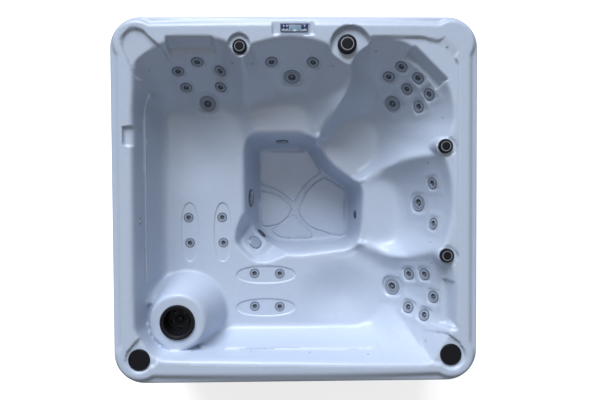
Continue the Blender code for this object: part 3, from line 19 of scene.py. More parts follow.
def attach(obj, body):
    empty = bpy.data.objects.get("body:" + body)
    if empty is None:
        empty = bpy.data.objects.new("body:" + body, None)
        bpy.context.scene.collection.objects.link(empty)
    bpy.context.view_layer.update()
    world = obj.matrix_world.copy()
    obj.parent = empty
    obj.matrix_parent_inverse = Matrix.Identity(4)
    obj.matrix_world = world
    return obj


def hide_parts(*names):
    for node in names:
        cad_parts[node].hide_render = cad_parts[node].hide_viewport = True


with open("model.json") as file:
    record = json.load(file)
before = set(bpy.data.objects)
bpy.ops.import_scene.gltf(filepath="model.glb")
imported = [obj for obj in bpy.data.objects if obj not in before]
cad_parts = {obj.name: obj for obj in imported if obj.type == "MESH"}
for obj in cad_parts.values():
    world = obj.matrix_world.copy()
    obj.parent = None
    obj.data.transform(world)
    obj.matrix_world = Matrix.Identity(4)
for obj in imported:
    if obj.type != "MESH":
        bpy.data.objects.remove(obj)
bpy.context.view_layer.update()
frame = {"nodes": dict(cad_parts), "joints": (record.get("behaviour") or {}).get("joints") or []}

LOG = logging.getLogger('hot_tub')
Point = tuple[float, float]
Outline = Sequence[Point]
Colour = tuple[float, float, float]
Array = np.ndarray
Piece = bpy.types.Object
Socket = bpy.types.NodeSocket
FaceRule = Callable[[Vector, Vector], int]

ORIGIN = (0.0, 0.0, 0.0)
UP = (0.0, 0.0, 1.0)
SIDE = 2.13
HALF = SIDE / 2
RIM_HEIGHT = 0.9
CORNER_REACH = 0.48
CORNER_STEPS = 4


# Heights and outlines

def smooth_step(t: Array) -> Array:
    """Share of the way, eased and kept from 0 to 1."""
    t = np.clip(t, 0.0, 1.0)
    return t * t * (3.0 - 2.0 * t)


def smooth_min(a: Array, b: Array, blend: float | Array) -> Array:
    """Lower of two heights, rounded where they cross.

    Args:
        a: First height.
        b: Second height.
        blend: Height of the rounding.

    Returns:
        Blended height.
    """
    blend = np.maximum(blend, 1e-9)
    h = np.clip((blend - np.abs(a - b)) / blend, 0.0, 1.0)
    return np.minimum(a, b) - h * h * blend / 4.0


def smooth_max(a: Array, b: Array, blend: float | Array) -> Array:
    """Higher of two heights, rounded where they cross."""
    return -smooth_min(-a, -b, blend)


def from_shares(shares: Outline) -> Outline:
    """Real points from shares of the half side."""
    return [(sx * HALF, sy * HALF) for sx, sy in shares]


def rounded(shares: Outline, cut: float) -> Outline:
    """Closed outline whose corners are turned by short parabolas.

    Args:
        shares: Corners, in shares of the half side.
        cut: Length taken off each side at a corner.

    Returns:
        Rounded outline.
    """
    corners = [np.array(p, float) for p in from_shares(shares)]
    outline = []
    for i, corner in enumerate(corners):
        before, after = corners[i - 1], corners[(i + 1) % len(corners)]
        back, ahead = np.linalg.norm(before - corner), np.linalg.norm(after - corner)
        start = corner + (before - corner) * min(cut, CORNER_REACH * back) / back
        end = corner + (after - corner) * min(cut, CORNER_REACH * ahead) / ahead
        for k in range(CORNER_STEPS + 1):
            t = k / CORNER_STEPS
            outline.append((1 - t) ** 2 * start + 2 * t * (1 - t) * corner + t * t * end)
    return outline


def away(share: Point, x: Array, y: Array) -> Array:
    """Distance of places from a point that is given in shares of the half side."""
    return np.hypot(x - share[0] * HALF, y - share[1] * HALF)


def inside_distance(outline: Outline, x: Array, y: Array) -> Array:
    """Distance from points to an outline, positive inside it.

    Args:
        outline: Closed outline.
        x: Places along X.
        y: Places along Y.

    Returns:
        Signed distance of each point.
    """
    best = np.full(np.shape(x), np.inf)
    inside = np.zeros(np.shape(x), bool)
    for i, (ax, ay) in enumerate(outline):
        bx, by = outline[(i + 1) % len(outline)]
        dx, dy = bx - ax, by - ay
        length = dx * dx + dy * dy
        if length == 0:
            continue
        t = np.clip(((x - ax) * dx + (y - ay) * dy) / length, 0.0, 1.0)
        best = np.minimum(best, (x - ax - t * dx) ** 2 + (y - ay - t * dy) ** 2)
        if ay != by:
            inside ^= ((ay > y) != (by > y)) & (x < dx * (y - ay) / dy + ax)
    return np.where(inside, 1.0, -1.0) * np.sqrt(best)


def cubic_weights(t: Array) -> tuple[Array, ...]:
    """Catmull-Rom weights of the four neighbours."""
    return (0.5 * (-t ** 3 + 2 * t ** 2 - t), 0.5 * (3 * t ** 3 - 5 * t ** 2 + 2),
            0.5 * (-3 * t ** 3 + 4 * t ** 2 + t), 0.5 * (t ** 3 - t ** 2))


@dataclass(frozen=True)
class Pocket:
    """Seat or lounge moulded from a rim outline down to a pan outline, in shares of the half side."""

    rim: Outline
    pan: Outline
    depth: float
    ledge: bool = False


LOUNGE = Pocket(
    rim=[(-0.867, 0.748), (-0.797, 0.801), (-0.726, 0.838), (-0.565, 0.871), (-0.436, 0.871), (-0.355, 0.85),
         (-0.32, 0.785), (-0.24, 0.73), (-0.13, 0.56), (-0.06, 0.36), (0.1, 0.15), (0.33, -0.05),
         (0.56, -0.15), (0.76, -0.225), (0.85, -0.335), (0.868, -0.441), (0.876, -0.551), (0.865, -0.673),
         (0.837, -0.734), (0.793, -0.795), (0.758, -0.867), (0.732, -0.898), (-0.745, -0.858),
         (-0.797, -0.828), (-0.848, -0.748), (-0.872, -0.7)],
    pan=[(-0.852, 0.56), (-0.345, 0.55), (-0.314, 0.432), (-0.3, 0.15), (0.000, -0.05), (0.15, -0.25),
         (0.48, -0.36), (0.53, -0.482), (0.522, -0.673), (0.43, -0.835), (-0.74, -0.845),
         (-0.842, -0.74)],
    depth=0.41, ledge=True)
CENTRE_SEAT = Pocket(
    rim=[(-0.27, 0.775), (-0.242, 0.839), (-0.188, 0.85), (-0.118, 0.869), (-0.021, 0.878), (0.077, 0.869),
         (0.185, 0.838), (0.262, 0.765), (0.345, 0.735), (0.38, 0.62), (0.3, 0.43), (0.2, 0.2),
         (-0.2, 0.15), (-0.42, 0.35), (-0.4, 0.65)],
    pan=[(-0.272, 0.575), (0.05, 0.575), (0.12, 0.47), (0.04, 0.26), (-0.272, 0.26)],
    depth=0.37)
CORNER_SEAT = Pocket(
    rim=[(0.299, 0.763), (0.34, 0.82), (0.403, 0.862), (0.471, 0.873), (0.555, 0.863), (0.637, 0.832),
         (0.74, 0.745), (0.827, 0.635), (0.858, 0.535), (0.864, 0.432), (0.838, 0.36), (0.8, 0.25),
         (0.6, 0.06), (0.3, 0.000), (0.06, 0.25), (0.2, 0.48), (0.275, 0.62)],
    pan=[(0.178, 0.4), (0.3, 0.522), (0.441, 0.51), (0.515, 0.431), (0.53, 0.33), (0.46, 0.21),
         (0.25, 0.06), (0.1, 0.25)],
    depth=0.46)
SIDE_SEAT = Pocket(
    rim=[(0.79, 0.265), (0.815, 0.225), (0.843, 0.143), (0.859, 0.05), (0.857, -0.066), (0.843, -0.148),
         (0.82, -0.24), (0.7, -0.42), (0.52, -0.42), (0.2, -0.2), (0.2, 0.08), (0.45, 0.3),
         (0.64, 0.4)],
    pan=[(0.45, 0.12), (0.6, 0.12), (0.65, 0.000), (0.65, -0.18), (0.6, -0.28), (0.45, -0.272),
         (0.25, -0.2), (0.25, 0.000)],
    depth=0.4)
SEATS = (LOUNGE, CENTRE_SEAT, CORNER_SEAT, SIDE_SEAT)


@dataclass(frozen=True)
class Step:
    """Small form with an outline in shares of the half side, stepped up or down by a height."""

    outline: Outline
    height: float


@dataclass(frozen=True)
class ValvePocket:
    """Round pocket for a valve, with a level land under the valve itself."""

    valve: Point
    centre: Point
    radius: float
    depth: float
    land: float


HIP_BOWLS = (((-0.6, 0.3), (0.3, 0.33)), ((0.27, -0.6), (0.3, 0.26)))
WELL_RIM = [(-0.285, 0.392), (0.06, 0.392), (0.14, 0.343), (0.194, 0.25), (0.273, 0.176), (0.37, 0.114),
            (0.416, 0.049), (0.403, -0.21), (0.36, -0.294), (0.029, -0.336), (-0.15, -0.322),
            (-0.306, -0.165), (-0.308, 0.307)]
WELL_FLOOR = [(-0.24, 0.339), (0.101, 0.338), (0.183, 0.2), (0.321, 0.095), (0.369, 0.047),
              (0.376, -0.238), (0.341, -0.286), (0.035, -0.298), (-0.158, -0.29), (-0.254, -0.192)]
TOWER = (-0.671, -0.686)
STEP_FADE_HEIGHT = -0.18
INNER_DECK = Step([(0.4, 0.886), (0.692, 0.886), (0.757, 0.866), (0.784, 0.864), (0.824, 0.903),
                   (0.899, 0.819), (0.866, 0.773), (0.888, 0.747), (0.888, -0.72), (0.7, -0.7),
                   (0.65, 0.000), (0.65, 0.65), (0.4, 0.7)], -0.012)
INNER_DECK_FADE_END = 1.292
INNER_DECK_FADE = 0.07
CORNER_RECESS_SHARE = 1 - 0.155 / HALF
CORNER_RECESS_RADIUS = 0.082
CORNER_RECESS_DEPTH = 0.014
CORNER_RECESSES = (
    ((-CORNER_RECESS_SHARE, CORNER_RECESS_SHARE),
     [(-0.798, 0.903), (-0.712, 0.826), (-0.66, 0.67), (-0.865, 0.67), (-0.925, 0.821)], 0.05),
    ((-CORNER_RECESS_SHARE, -CORNER_RECESS_SHARE),
     [(-0.925, -0.818), (-0.86, -0.742), (-0.79, -0.78), (-0.737, -0.856), (-0.78, -0.905)], 0.0),
    ((CORNER_RECESS_SHARE, -CORNER_RECESS_SHARE),
     [(0.91, -0.788), (0.836, -0.732), (0.7, -0.75), (0.728, -0.897), (0.797, -0.905)], 0.0))
VALVE_POCKETS = (ValvePocket((0.284, 0.848), (0.301, 0.836), 0.108, 0.03, 0.065),
                 ValvePocket((-0.298, 0.834), (-0.301, 0.843), 0.058, 0.018, 0.051),
                 ValvePocket((0.819, 0.294), (0.826, 0.29), 0.058, 0.018, 0.051),
                 ValvePocket((0.827, -0.304), (0.831, -0.309), 0.058, 0.018, 0.051))
SQUARE_POCKETS = (Step([(-0.117, 0.977), (0.108, 0.977), (0.108, 0.895), (-0.117, 0.895)], -0.014),
                  Step([(-0.928, 0.406), (-0.8, 0.406), (-0.8, 0.303), (-0.928, 0.303)], -0.02))
PILLOW_DEPTH = 0.092
PILLOW_POCKETS = (
    ([(-0.696, 0.886), (-0.438, 0.886), (-0.43, 0.74), (-0.69, 0.74)],
     [(-0.686, 0.84), (-0.438, 0.84), (-0.432, 0.7), (-0.686, 0.7)]),
    ([(0.655, 0.845), (0.839, 0.66), (0.74, 0.56), (0.555, 0.745)],
     [(0.632, 0.812), (0.808, 0.638), (0.73, 0.56), (0.555, 0.735)]),
    ([(0.88, -0.441), (0.884, -0.7), (0.74, -0.69), (0.74, -0.435)],
     [(0.842, -0.444), (0.842, -0.692), (0.7, -0.685), (0.7, -0.44)]))
CALF_OVALS = (((-0.651, -0.199), False), ((-0.448, -0.2), False), ((-0.183, -0.466), True),
              ((-0.185, -0.67), True))
OVAL_SIZE = (0.196, 0.06)
OVAL_DEPTH = 0.006
PAD_HEIGHT = 0.005
FLOOR_PADS = (
    [(-0.24, 0.332), (0.094, 0.331), (0.185, 0.179), (0.107, 0.124), (0.047, 0.055), (-0.005, -0.034),
     (-0.101, 0.045), (-0.17, 0.077), (-0.242, 0.095)],
    [(-0.242, 0.052), (-0.184, 0.045), (-0.101, 0.015), (-0.039, -0.041), (-0.019, -0.083),
     (-0.047, -0.128), (-0.102, -0.179), (-0.183, -0.199), (-0.227, -0.192),
     (-0.246, -0.123)],
    [(-0.165, -0.227), (-0.103, -0.273), (-0.017, -0.286), (0.119, -0.278), (0.123, -0.247),
     (-0.007, -0.116)],
    [(0.208, 0.144), (0.141, 0.105), (0.078, 0.038), (0.04, -0.041), (0.022, -0.097), (0.064, -0.166),
     (0.119, -0.208), (0.262, -0.258), (0.335, -0.266), (0.362, -0.238), (0.36, -0.182),
     (0.34, -0.085), (0.362, 0.026), (0.34, 0.061)])
NICHE = [(-0.275, -0.155), (-0.33, -0.214), (-0.353, -0.262), (-0.319, -0.312), (-0.257, -0.364),
         (-0.189, -0.352), (-0.12, -0.283), (-0.2, -0.13)]
NICHE_START = (-0.345, -0.325)
NICHE_TOP_DEPTH = 0.44
SEAT_FIT_SHARE = math.cos(math.pi / 10)
FIT_GAP = 0.0003
SEAT_FOOT = -0.0037
STEM_LENGTH = 0.035
MOOD_LIGHT_PLACES = ((-0.866, 0.778), (-0.368, 0.814), (-0.249, 0.81), (-0.922, 0.424), (-0.917, -0.29),
                     (0.481, 0.881), (0.227, 0.795), (0.877, 0.491), (0.803, 0.223), (0.818, -0.257),
                     (0.823, -0.382), (0.783, -0.852), (0.434, -0.931), (0.081, -0.924), (-0.276, -0.917),
                     (-0.632, -0.91), (0.879, 0.885))
LARGE_LIGHT_PLACE = (-0.923, -0.117)


@dataclass
class ShellForm:
    """Height of the shell below its rim at any place in plan, kept on an even raster."""

    ledge_drop: float = 0.025
    lip_depth: float = 0.085
    band_top_inset: float = 0.056
    band_foot_middle: float = 0.01
    band_foot_corner: float = 0.041
    band_foot_side: float = 0.03
    boss_inset: float = 0.155
    boss_radius: float = 0.125
    boss_bevel: float = 0.012
    wall_ledge_depth: float = 0.17
    wall_ledge_width: float = 0.0005
    tread_width: float = 0.012
    tread_start: float = 0.74
    tread_fade: float = 0.08
    tread_left: Point = (-0.54, 0.69)
    tread_front: Point = (-0.49, 0.52)
    tread_middle: float = -0.19
    tread_zone: float = 0.08
    ledge_wall_run: float = 0.11
    ledge_fade_run: float = 0.05
    least_run: float = 0.004
    back_power: float = 1.35
    seat_fillet: float = 0.04
    ridge_blend: float = 0.05
    ridge_fade: float = 0.06
    rim_cut: float = 0.06
    pan_cut: float = 0.09
    deck_cut: float = 0.02
    pad_cut: float = 0.025
    niche_cut: float = 0.02
    well_rim_depth: float = 0.43
    well_depth: float = 0.8
    well_blend: float = 0.03
    tower_depth: float = 0.12
    tower_top: float = 0.17
    tower_foot: float = 0.258
    hip_depth: float = 0.035
    raster_step: float = 0.006
    raster_blur: float = 0.007
    seat_blur: float = 0.026
    seat_blur_reach: float = 0.05
    seat_blur_top: float = -0.2
    seat_blur_fade: float = 0.06
    overrun: float = 0.02
    step_run: float = 0.006
    wall_rise: float = 10.0
    skirt_fall: float = 7.0
    pocket_rise: float = 2.5
    flat_end: float = 1.55
    flat_fade: float = 0.45
    frame_least: float = 0.037
    frame_most: float = 0.056
    frame_share: float = 1.12
    frame_end_share: float = 2.4
    frame_width: float = 0.006
    frame_height: float = 0.006
    frame_power: float = 6.0
    frame_zone: float = 0.01
    border_least: float = 0.0565
    border_share: float = 1.17
    border_height: float = 0.0035
    border_run: float = 0.0085
    border_zone: float = 0.016
    oval_power: float = 2.3
    oval_zone: float = 0.012
    groove_depth: float = 0.004
    groove_reach: float = 0.006
    pad_zone: float = 0.01
    flats: list[tuple[float, ...]] = field(default_factory=list)

    def __post_init__(self) -> None:
        """Fill the raster of main forms, then the one with its small forms."""
        self.start = -HALF - self.overrun
        count = int(round((SIDE + 2 * self.overrun) / self.raster_step)) + 1
        axis = self.start + np.arange(count) * self.raster_step
        gx, gy = np.meshgrid(axis, axis, indexing='ij')
        forms = self.main_forms(gx, gy)
        self.base = self.blurred(forms, self.raster_blur / self.raster_step)
        soft = self.blurred(forms, self.seat_blur / self.raster_step)
        pans = [inside_distance(rounded(seat.pan, self.pan_cut), gx, gy) for seat in SEATS]
        well = -inside_distance(rounded(WELL_RIM, self.rim_cut), gx, gy)
        near = smooth_step(2.0 - np.min(np.abs(pans), axis=0) / self.seat_blur_reach)
        near *= smooth_step((self.seat_blur_top - self.base) / self.seat_blur_fade)
        self.base += near * smooth_step(well / self.seat_blur_reach - 0.5) * (soft - self.base)
        self.full = self.small_forms(self.ledged(gx, gy), gx, gy)

    def deck(self, x: Array, y: Array) -> Array:
        """Rim deck: outer ledge, sloping band and raised rim with a round boss at each corner.

        Args:
            x: Places along X.
            y: Places along Y.

        Returns:
            Height below the rim.
        """
        reach = HALF - self.boss_inset
        bow = np.clip(np.abs(x) / reach, 0.0, 1.0) ** 2
        foot = self.band_foot_middle + (self.band_foot_corner - self.band_foot_middle) * bow
        rise_y = (HALF - foot - np.abs(y)) / (self.band_top_inset - foot)
        rise_x = (HALF - self.band_foot_side - np.abs(x)) / (self.band_top_inset - self.band_foot_side)
        rise = np.minimum(rise_x, rise_y)
        rise = np.where((np.abs(x) > reach) & (np.abs(y) > reach), 0.0, rise)
        far = self.boss_radius + self.boss_bevel - np.hypot(np.abs(x) - reach, np.abs(y) - reach)
        return self.ledge_drop * (np.clip(np.maximum(rise, far / self.boss_bevel), 0.0, 1.0) - 1.0)

    def loft(self, x: Array, y: Array, rim: Outline, pan: Outline, top: float, bottom: float,
             fillet: float, ledge: bool = False) -> Array:
        """Pocket from a rim outline down to a pan outline, whose steep walls may run straight.

        Args:
            x: Places along X.
            y: Places along Y.
            rim: Outline at the top.
            pan: Outline at the bottom.
            top: Height of the rim.
            bottom: Height of the pan.
            fillet: Height of the rounding at the pan.
            ledge: Whether steep walls run straight, with a hair-thin tread at the ledge's depth.

        Returns:
            Height below the rim, still rising past the pocket's edge.
        """
        inner = -inside_distance(pan, x, y)
        outer = inside_distance(rim, x, y)
        run = np.maximum(inner + outer, self.least_run)
        z = bottom + (top - bottom) * np.maximum(inner / run, 0.0) ** self.back_power
        if ledge:
            tread = self.wall_ledge_width * smooth_step((self.ledge_wall_run - run) / self.ledge_fade_run)
            share = (top + self.wall_ledge_depth) / (top - bottom)
            steep = np.maximum(run - tread, self.least_run)
            upper = top - outer * (top - bottom) / steep
            lower = bottom + inner * (top - bottom) / steep
            stepped = np.where(outer < steep * share, upper,
                               np.where(outer < steep * share + tread, -self.wall_ledge_depth, lower))
            z = np.where((tread > 0) & (inner > 0), stepped, z)
        return smooth_max(z, np.full_like(z, bottom), fillet) - fillet / 4

    def main_forms(self, x: Array, y: Array) -> Array:
        """Deck, seats, hip bowls, footwell and filter tower, before smoothing.

        Args:
            x: Places along X.
            y: Places along Y.

        Returns:
            Height below the rim.
        """
        deck = self.deck(x, y)
        height = deck
        for seat in SEATS:
            pocket = self.loft(x, y, rounded(seat.rim, self.rim_cut), rounded(seat.pan, self.pan_cut),
                               0.0, -seat.depth, self.seat_fillet, seat.ledge)
            pocket = np.minimum(pocket, deck)
            fade = smooth_step((deck - np.maximum(height, pocket)) / self.ridge_fade)
            height = smooth_min(height, pocket, self.ridge_blend * fade)
        for (cx, cy), (rx, ry) in HIP_BOWLS:
            reach = np.hypot((x - cx * HALF) / rx, (y - cy * HALF) / ry)
            height = height - self.hip_depth * smooth_step(1.0 - reach)
        well = self.loft(x, y, rounded(WELL_RIM, self.rim_cut), rounded(WELL_FLOOR, self.rim_cut),
                         -self.well_rim_depth, -self.well_depth, self.well_blend)
        height = smooth_min(height, well, self.well_blend)
        fall = (away(TOWER, x, y) - self.tower_top) / (self.tower_foot - self.tower_top)
        tower = -self.tower_depth - (LOUNGE.depth - self.tower_depth) * np.maximum(fall, 0.0)
        return np.where(height < -self.tower_depth / 2, smooth_max(height, tower, self.well_blend), height)

    def blurred(self, values: Array, sigma: float) -> Array:
        """Raster smoothed by a Gaussian.

        Args:
            values: Raster.
            sigma: Spread in cells.

        Returns:
            Smoothed raster.
        """
        reach = int(math.ceil(3 * sigma))
        weights = np.exp(-0.5 * (np.arange(-reach, reach + 1) / sigma) ** 2)
        weights /= weights.sum()
        for axis in (0, 1):
            pad = [(reach, reach) if a == axis else (0, 0) for a in (0, 1)]
            padded = np.pad(values, pad, mode='edge')
            size = values.shape[axis]
            values = sum(w * np.take(padded, np.arange(k, k + size), axis) for k, w in enumerate(weights))
        return values

    def sunk(self, height: Array, inside: Array, level: float, rise: float) -> Array:
        """Height cut down to a pocket's level inside its outline, with a steep wall round it."""
        return np.minimum(height, level + rise * np.maximum(-inside, 0.0))

    def dropped(self, height: Array, inside: Array, depth: float | Array) -> Array:
        """Height stepped down inside an outline, fading out on the walls below the deck."""
        near_deck = smooth_step((height - STEP_FADE_HEIGHT) / (-self.ledge_drop - STEP_FADE_HEIGHT))
        return height - depth * smooth_step(inside / self.step_run) * near_deck

    def oval_inside(self, dx: Array, dy: Array, lengthwise: bool) -> Array:
        """How far places lie inside a calf oval.

        Args:
            dx: Distances from its centre along X.
            dy: Distances from its centre along Y.
            lengthwise: Whether it lies along X.

        Returns:
            Distance from its outline, below zero outside.
        """
        along, across = (dx, dy) if lengthwise else (dy, dx)
        (length, width), power = OVAL_SIZE, self.oval_power
        u, v = np.abs(along) / length, np.abs(across) / width
        reach = np.maximum((u ** power + v ** power) ** (1 / power), 0.001)
        slope = np.hypot((u / reach) ** (power - 1) / length, (v / reach) ** (power - 1) / width)
        return (1.0 - reach) / np.maximum(slope, 1.0)

    def small_forms(self, height: Array, x: Array, y: Array) -> Array:
        """Recesses, pockets, ovals, floor pads and the light's niche.

        Args:
            height: Smoothed main forms.
            x: Places along X.
            y: Places along Y.

        Returns:
            Height below the rim.
        """
        inside = inside_distance(rounded(INNER_DECK.outline, self.deck_cut), x, y)
        fade = smooth_step((INNER_DECK_FADE_END - (x + y) / math.sqrt(2)) / INNER_DECK_FADE)
        height = self.dropped(height, inside, -INNER_DECK.height * fade)
        for (cx, cy), throat, tilt in CORNER_RECESSES:
            disc = CORNER_RECESS_RADIUS - away((cx, cy), x, y)
            inside = np.maximum(disc, inside_distance(from_shares(throat), x, y))
            inwards = (abs(cx) + abs(cy)) * HALF - np.sign(cx) * x - np.sign(cy) * y
            run = np.clip(inwards / math.sqrt(2) + CORNER_RECESS_RADIUS, 0.0, 3 * CORNER_RECESS_RADIUS)
            fall = tilt * run
            height = self.dropped(height, inside, CORNER_RECESS_DEPTH + fall)
        for pocket in VALVE_POCKETS:
            land = away(pocket.valve, x, y) - pocket.land
            height = np.maximum(height, -pocket.depth - self.skirt_fall * np.maximum(land, 0.0))
            disc = pocket.radius - away(pocket.centre, x, y)
            height = self.sunk(height, disc, -pocket.depth, self.pocket_rise)
        for pocket in SQUARE_POCKETS:
            inside = inside_distance(from_shares(pocket.outline), x, y)
            height = self.sunk(height, inside, pocket.height, self.wall_rise)
        for rim, pan in PILLOW_POCKETS:
            pocket = self.loft(x, y, from_shares(rim), from_shares(pan), 0.0, -PILLOW_DEPTH, 0.0)
            height = np.minimum(height, pocket)
        for (cx, cy), lengthwise in CALF_OVALS:
            inside = self.oval_inside(x - cx * HALF, y - cy * HALF, lengthwise)
            height = height - OVAL_DEPTH * smooth_step(inside / self.step_run)
        for pad in FLOOR_PADS:
            inside = inside_distance(rounded(pad, self.pad_cut), x, y)
            height = height + PAD_HEIGHT * smooth_step(inside / self.step_run)
            height = height - self.groove_depth * smooth_step(1.0 - np.abs(inside) / self.groove_reach)
        along = ((x - NICHE_START[0] * HALF) + (y - NICHE_START[1] * HALF)) / math.sqrt(2)
        niche = inside_distance(rounded(NICHE, self.niche_cut), x, y)
        return self.sunk(height, niche, -NICHE_TOP_DEPTH - along, self.pocket_rise)

    def sample(self, raster: Array, x: Array, y: Array) -> Array:
        """Value of a raster between its points.

        Args:
            raster: Even raster.
            x: Places along X.
            y: Places along Y.

        Returns:
            Value at each place.
        """
        u, v = (x - self.start) / self.raster_step, (y - self.start) / self.raster_step
        i = np.clip(np.floor(u).astype(int), 1, raster.shape[0] - 3)
        j = np.clip(np.floor(v).astype(int), 1, raster.shape[0] - 3)
        wu, wv = cubic_weights(u - i), cubic_weights(v - j)
        total = np.zeros(np.shape(x))
        for a in range(4):
            for b in range(4):
                total += wu[a] * wv[b] * raster[i + a - 1, j + b - 1]
        return total

    def tread(self, along: Array, across: Array, ends: Point) -> Array:
        """Width of the ledge's tread on one wall.

        Args:
            along: Places along the wall.
            across: Places across it.
            ends: Where the tread starts and ends.

        Returns:
            Width, none away from the wall and past the ends.
        """
        near = smooth_step((-self.tread_start - across) / self.tread_fade)
        after = smooth_step((along - ends[0]) / self.tread_fade)
        before = smooth_step((ends[1] - along) / self.tread_fade)
        return self.tread_width * near * (after * before)

    def ledged(self, x: Array, y: Array) -> Array:
        """Main forms with a narrow ledge on the two steep outer walls.

        Args:
            x: Places along X.
            y: Places along Y.

        Returns:
            Height below the rim.
        """
        left, front = self.tread(y, x, self.tread_left), self.tread(x, y, self.tread_front)
        upper, lower = self.sample(self.base, x, y), self.sample(self.base, x - left, y - front)
        return np.minimum(np.maximum(upper, -self.wall_ledge_depth), np.maximum(upper, lower))

    def height(self, x: Array, y: Array) -> Array:
        """Height below the rim, with the flats that the fittings sit on.

        Args:
            x: Places along X.
            y: Places along Y.

        Returns:
            Height of each place.
        """
        z = self.small_forms(self.ledged(x, y), x, y)
        for cx, cy, level, gx, gy, radius in self.flats:
            dx, dy = x - cx, y - cy
            drop = gx * dx + gy * dy
            reach = np.sqrt(dx * dx + dy * dy + drop * drop)
            near = smooth_step((self.flat_end * radius - reach) / (self.flat_fade * radius))
            z = z + near * (level + drop - z)
            if self.frame_least < radius < self.frame_most:
                square = self.square_reach(dx, dy, gx, gy)
                rise = smooth_step((square - self.frame_share * radius) / self.frame_width)
                z = z + self.frame_height * (rise * smooth_step(self.frame_end_share - square / radius))
            if radius > self.border_least:
                off = np.abs(reach / radius - self.border_share) * radius
                z = z + self.border_height * smooth_step(1.0 - off / self.border_run)
        return z

    def square_reach(self, dx: Array, dy: Array, gx: float, gy: float) -> Array:
        """Reach from a fitting's middle, even along a rounded square that stands with the slope.

        Args:
            dx: Distances along X.
            dy: Distances along Y.
            gx: Rise of the flat along X.
            gy: Rise of the flat along Y.

        Returns:
            Reach of each place.
        """
        steep = math.hypot(gx, gy)
        ux, uy = (gx / steep, gy / steep) if steep > 0 else (0.0, 1.0)
        along = (dx * ux + dy * uy) * math.hypot(1.0, steep)
        across = dx * uy - dy * ux
        power = self.frame_power
        return (np.abs(along) ** power + np.abs(across) ** power) ** (1 / power)

    def add_flat(self, place: Vector, normal: Vector, radius: float) -> None:
        """Make the surface flat under a round fitting that looks along a normal."""
        gx, gy = -normal.x / normal.z, -normal.y / normal.z
        self.flats.append((place.x, place.y, place.z - RIM_HEIGHT, gx, gy, radius))

    def surface(self, x: float, y: float, spread: float) -> tuple[Vector, Vector]:
        """Place on the shell over a point in plan.

        Args:
            x: Place along X.
            y: Place along Y.
            spread: Distance over which the slope is taken.

        Returns:
            Place and way out of the shell.
        """
        xs = np.array([x, x + spread, x - spread, x, x])
        ys = np.array([y, y, y, y + spread, y - spread])
        z = self.height(xs, ys)
        normal = Vector(((z[2] - z[1]) / (2 * spread), (z[4] - z[3]) / (2 * spread), 1.0)).normalized()
        return Vector((x, y, RIM_HEIGHT + float(z[0]))), normal

    def wall_place(self, start: Point, way: Point, depth: float, spread: float) -> tuple[Vector, Vector]:
        """Walk out over the floor until the wall is met at a depth.

        Args:
            start: Where the walk starts.
            way: Direction of the walk.
            depth: Depth below the rim.
            spread: Distance over which the slope is taken.

        Returns:
            Place and way out of the shell.
        """
        near, far = 0.0, HALF / 2
        for _ in range(40):
            middle = (near + far) / 2
            x, y = start[0] + way[0] * middle, start[1] + way[1] * middle
            if float(self.height(np.array([x]), np.array([y]))[0]) < -depth:
                near = middle
            else:
                far = middle
        return self.surface(start[0] + way[0] * near, start[1] + way[1] * near, spread / 2)

    def fine_zone(self, x: Array, y: Array) -> Array:
        """Whether places lie on small forms that need a finer net.

        Args:
            x: Places along X.
            y: Places along Y.

        Returns:
            True where they do.
        """
        fine = np.zeros(np.shape(x), bool)
        for cx, cy, _, gx, gy, radius in self.flats:
            drop = gx * (x - cx) + gy * (y - cy)
            reach = np.sqrt((x - cx) ** 2 + (y - cy) ** 2 + drop * drop)
            if radius > self.border_least:
                fine |= np.abs(reach / radius - self.border_share) * radius < self.border_zone
            if self.frame_least < radius < self.frame_most:
                square = self.square_reach(x - cx, y - cy, gx, gy)
                fine |= square < self.frame_share * radius + self.frame_zone
        near = np.abs(self.sample(self.base, x, y) - self.tread_middle) < self.tread_zone
        treads = self.tread(y, x, self.tread_left) + self.tread(x, y, self.tread_front)
        fine |= near & (treads > self.tread_width / 2)
        for (cx, cy), lengthwise in CALF_OVALS:
            fine |= np.abs(self.oval_inside(x - cx * HALF, y - cy * HALF, lengthwise)) < self.oval_zone
        for pad in FLOOR_PADS:
            fine |= np.abs(inside_distance(rounded(pad, self.pad_cut), x, y)) < self.pad_zone
        return fine


# Finishes

class Nodes:
    """Node tree of a material or of the world."""

    def __init__(self, owner: bpy.types.ID) -> None:
        """Use the tree of a material or of the world."""
        owner.use_nodes = True
        self.tree = owner.node_tree

    def node(self, kind: str, inputs: Optional[dict] = None, **settings: object) -> bpy.types.Node:
        """Add a node.

        Args:
            kind: Type of the node, after its common beginning.
            inputs: Values or sockets by input name or number.
            settings: Options of the node.

        Returns:
            The node.
        """
        node = self.tree.nodes.new('ShaderNode' + kind)
        for name, value in settings.items():
            setattr(node, name, value)
        for key, value in (inputs or {}).items():
            if isinstance(value, Socket):
                self.tree.links.new(value, node.inputs[key])
            else:
                node.inputs[key].default_value = value
        return node


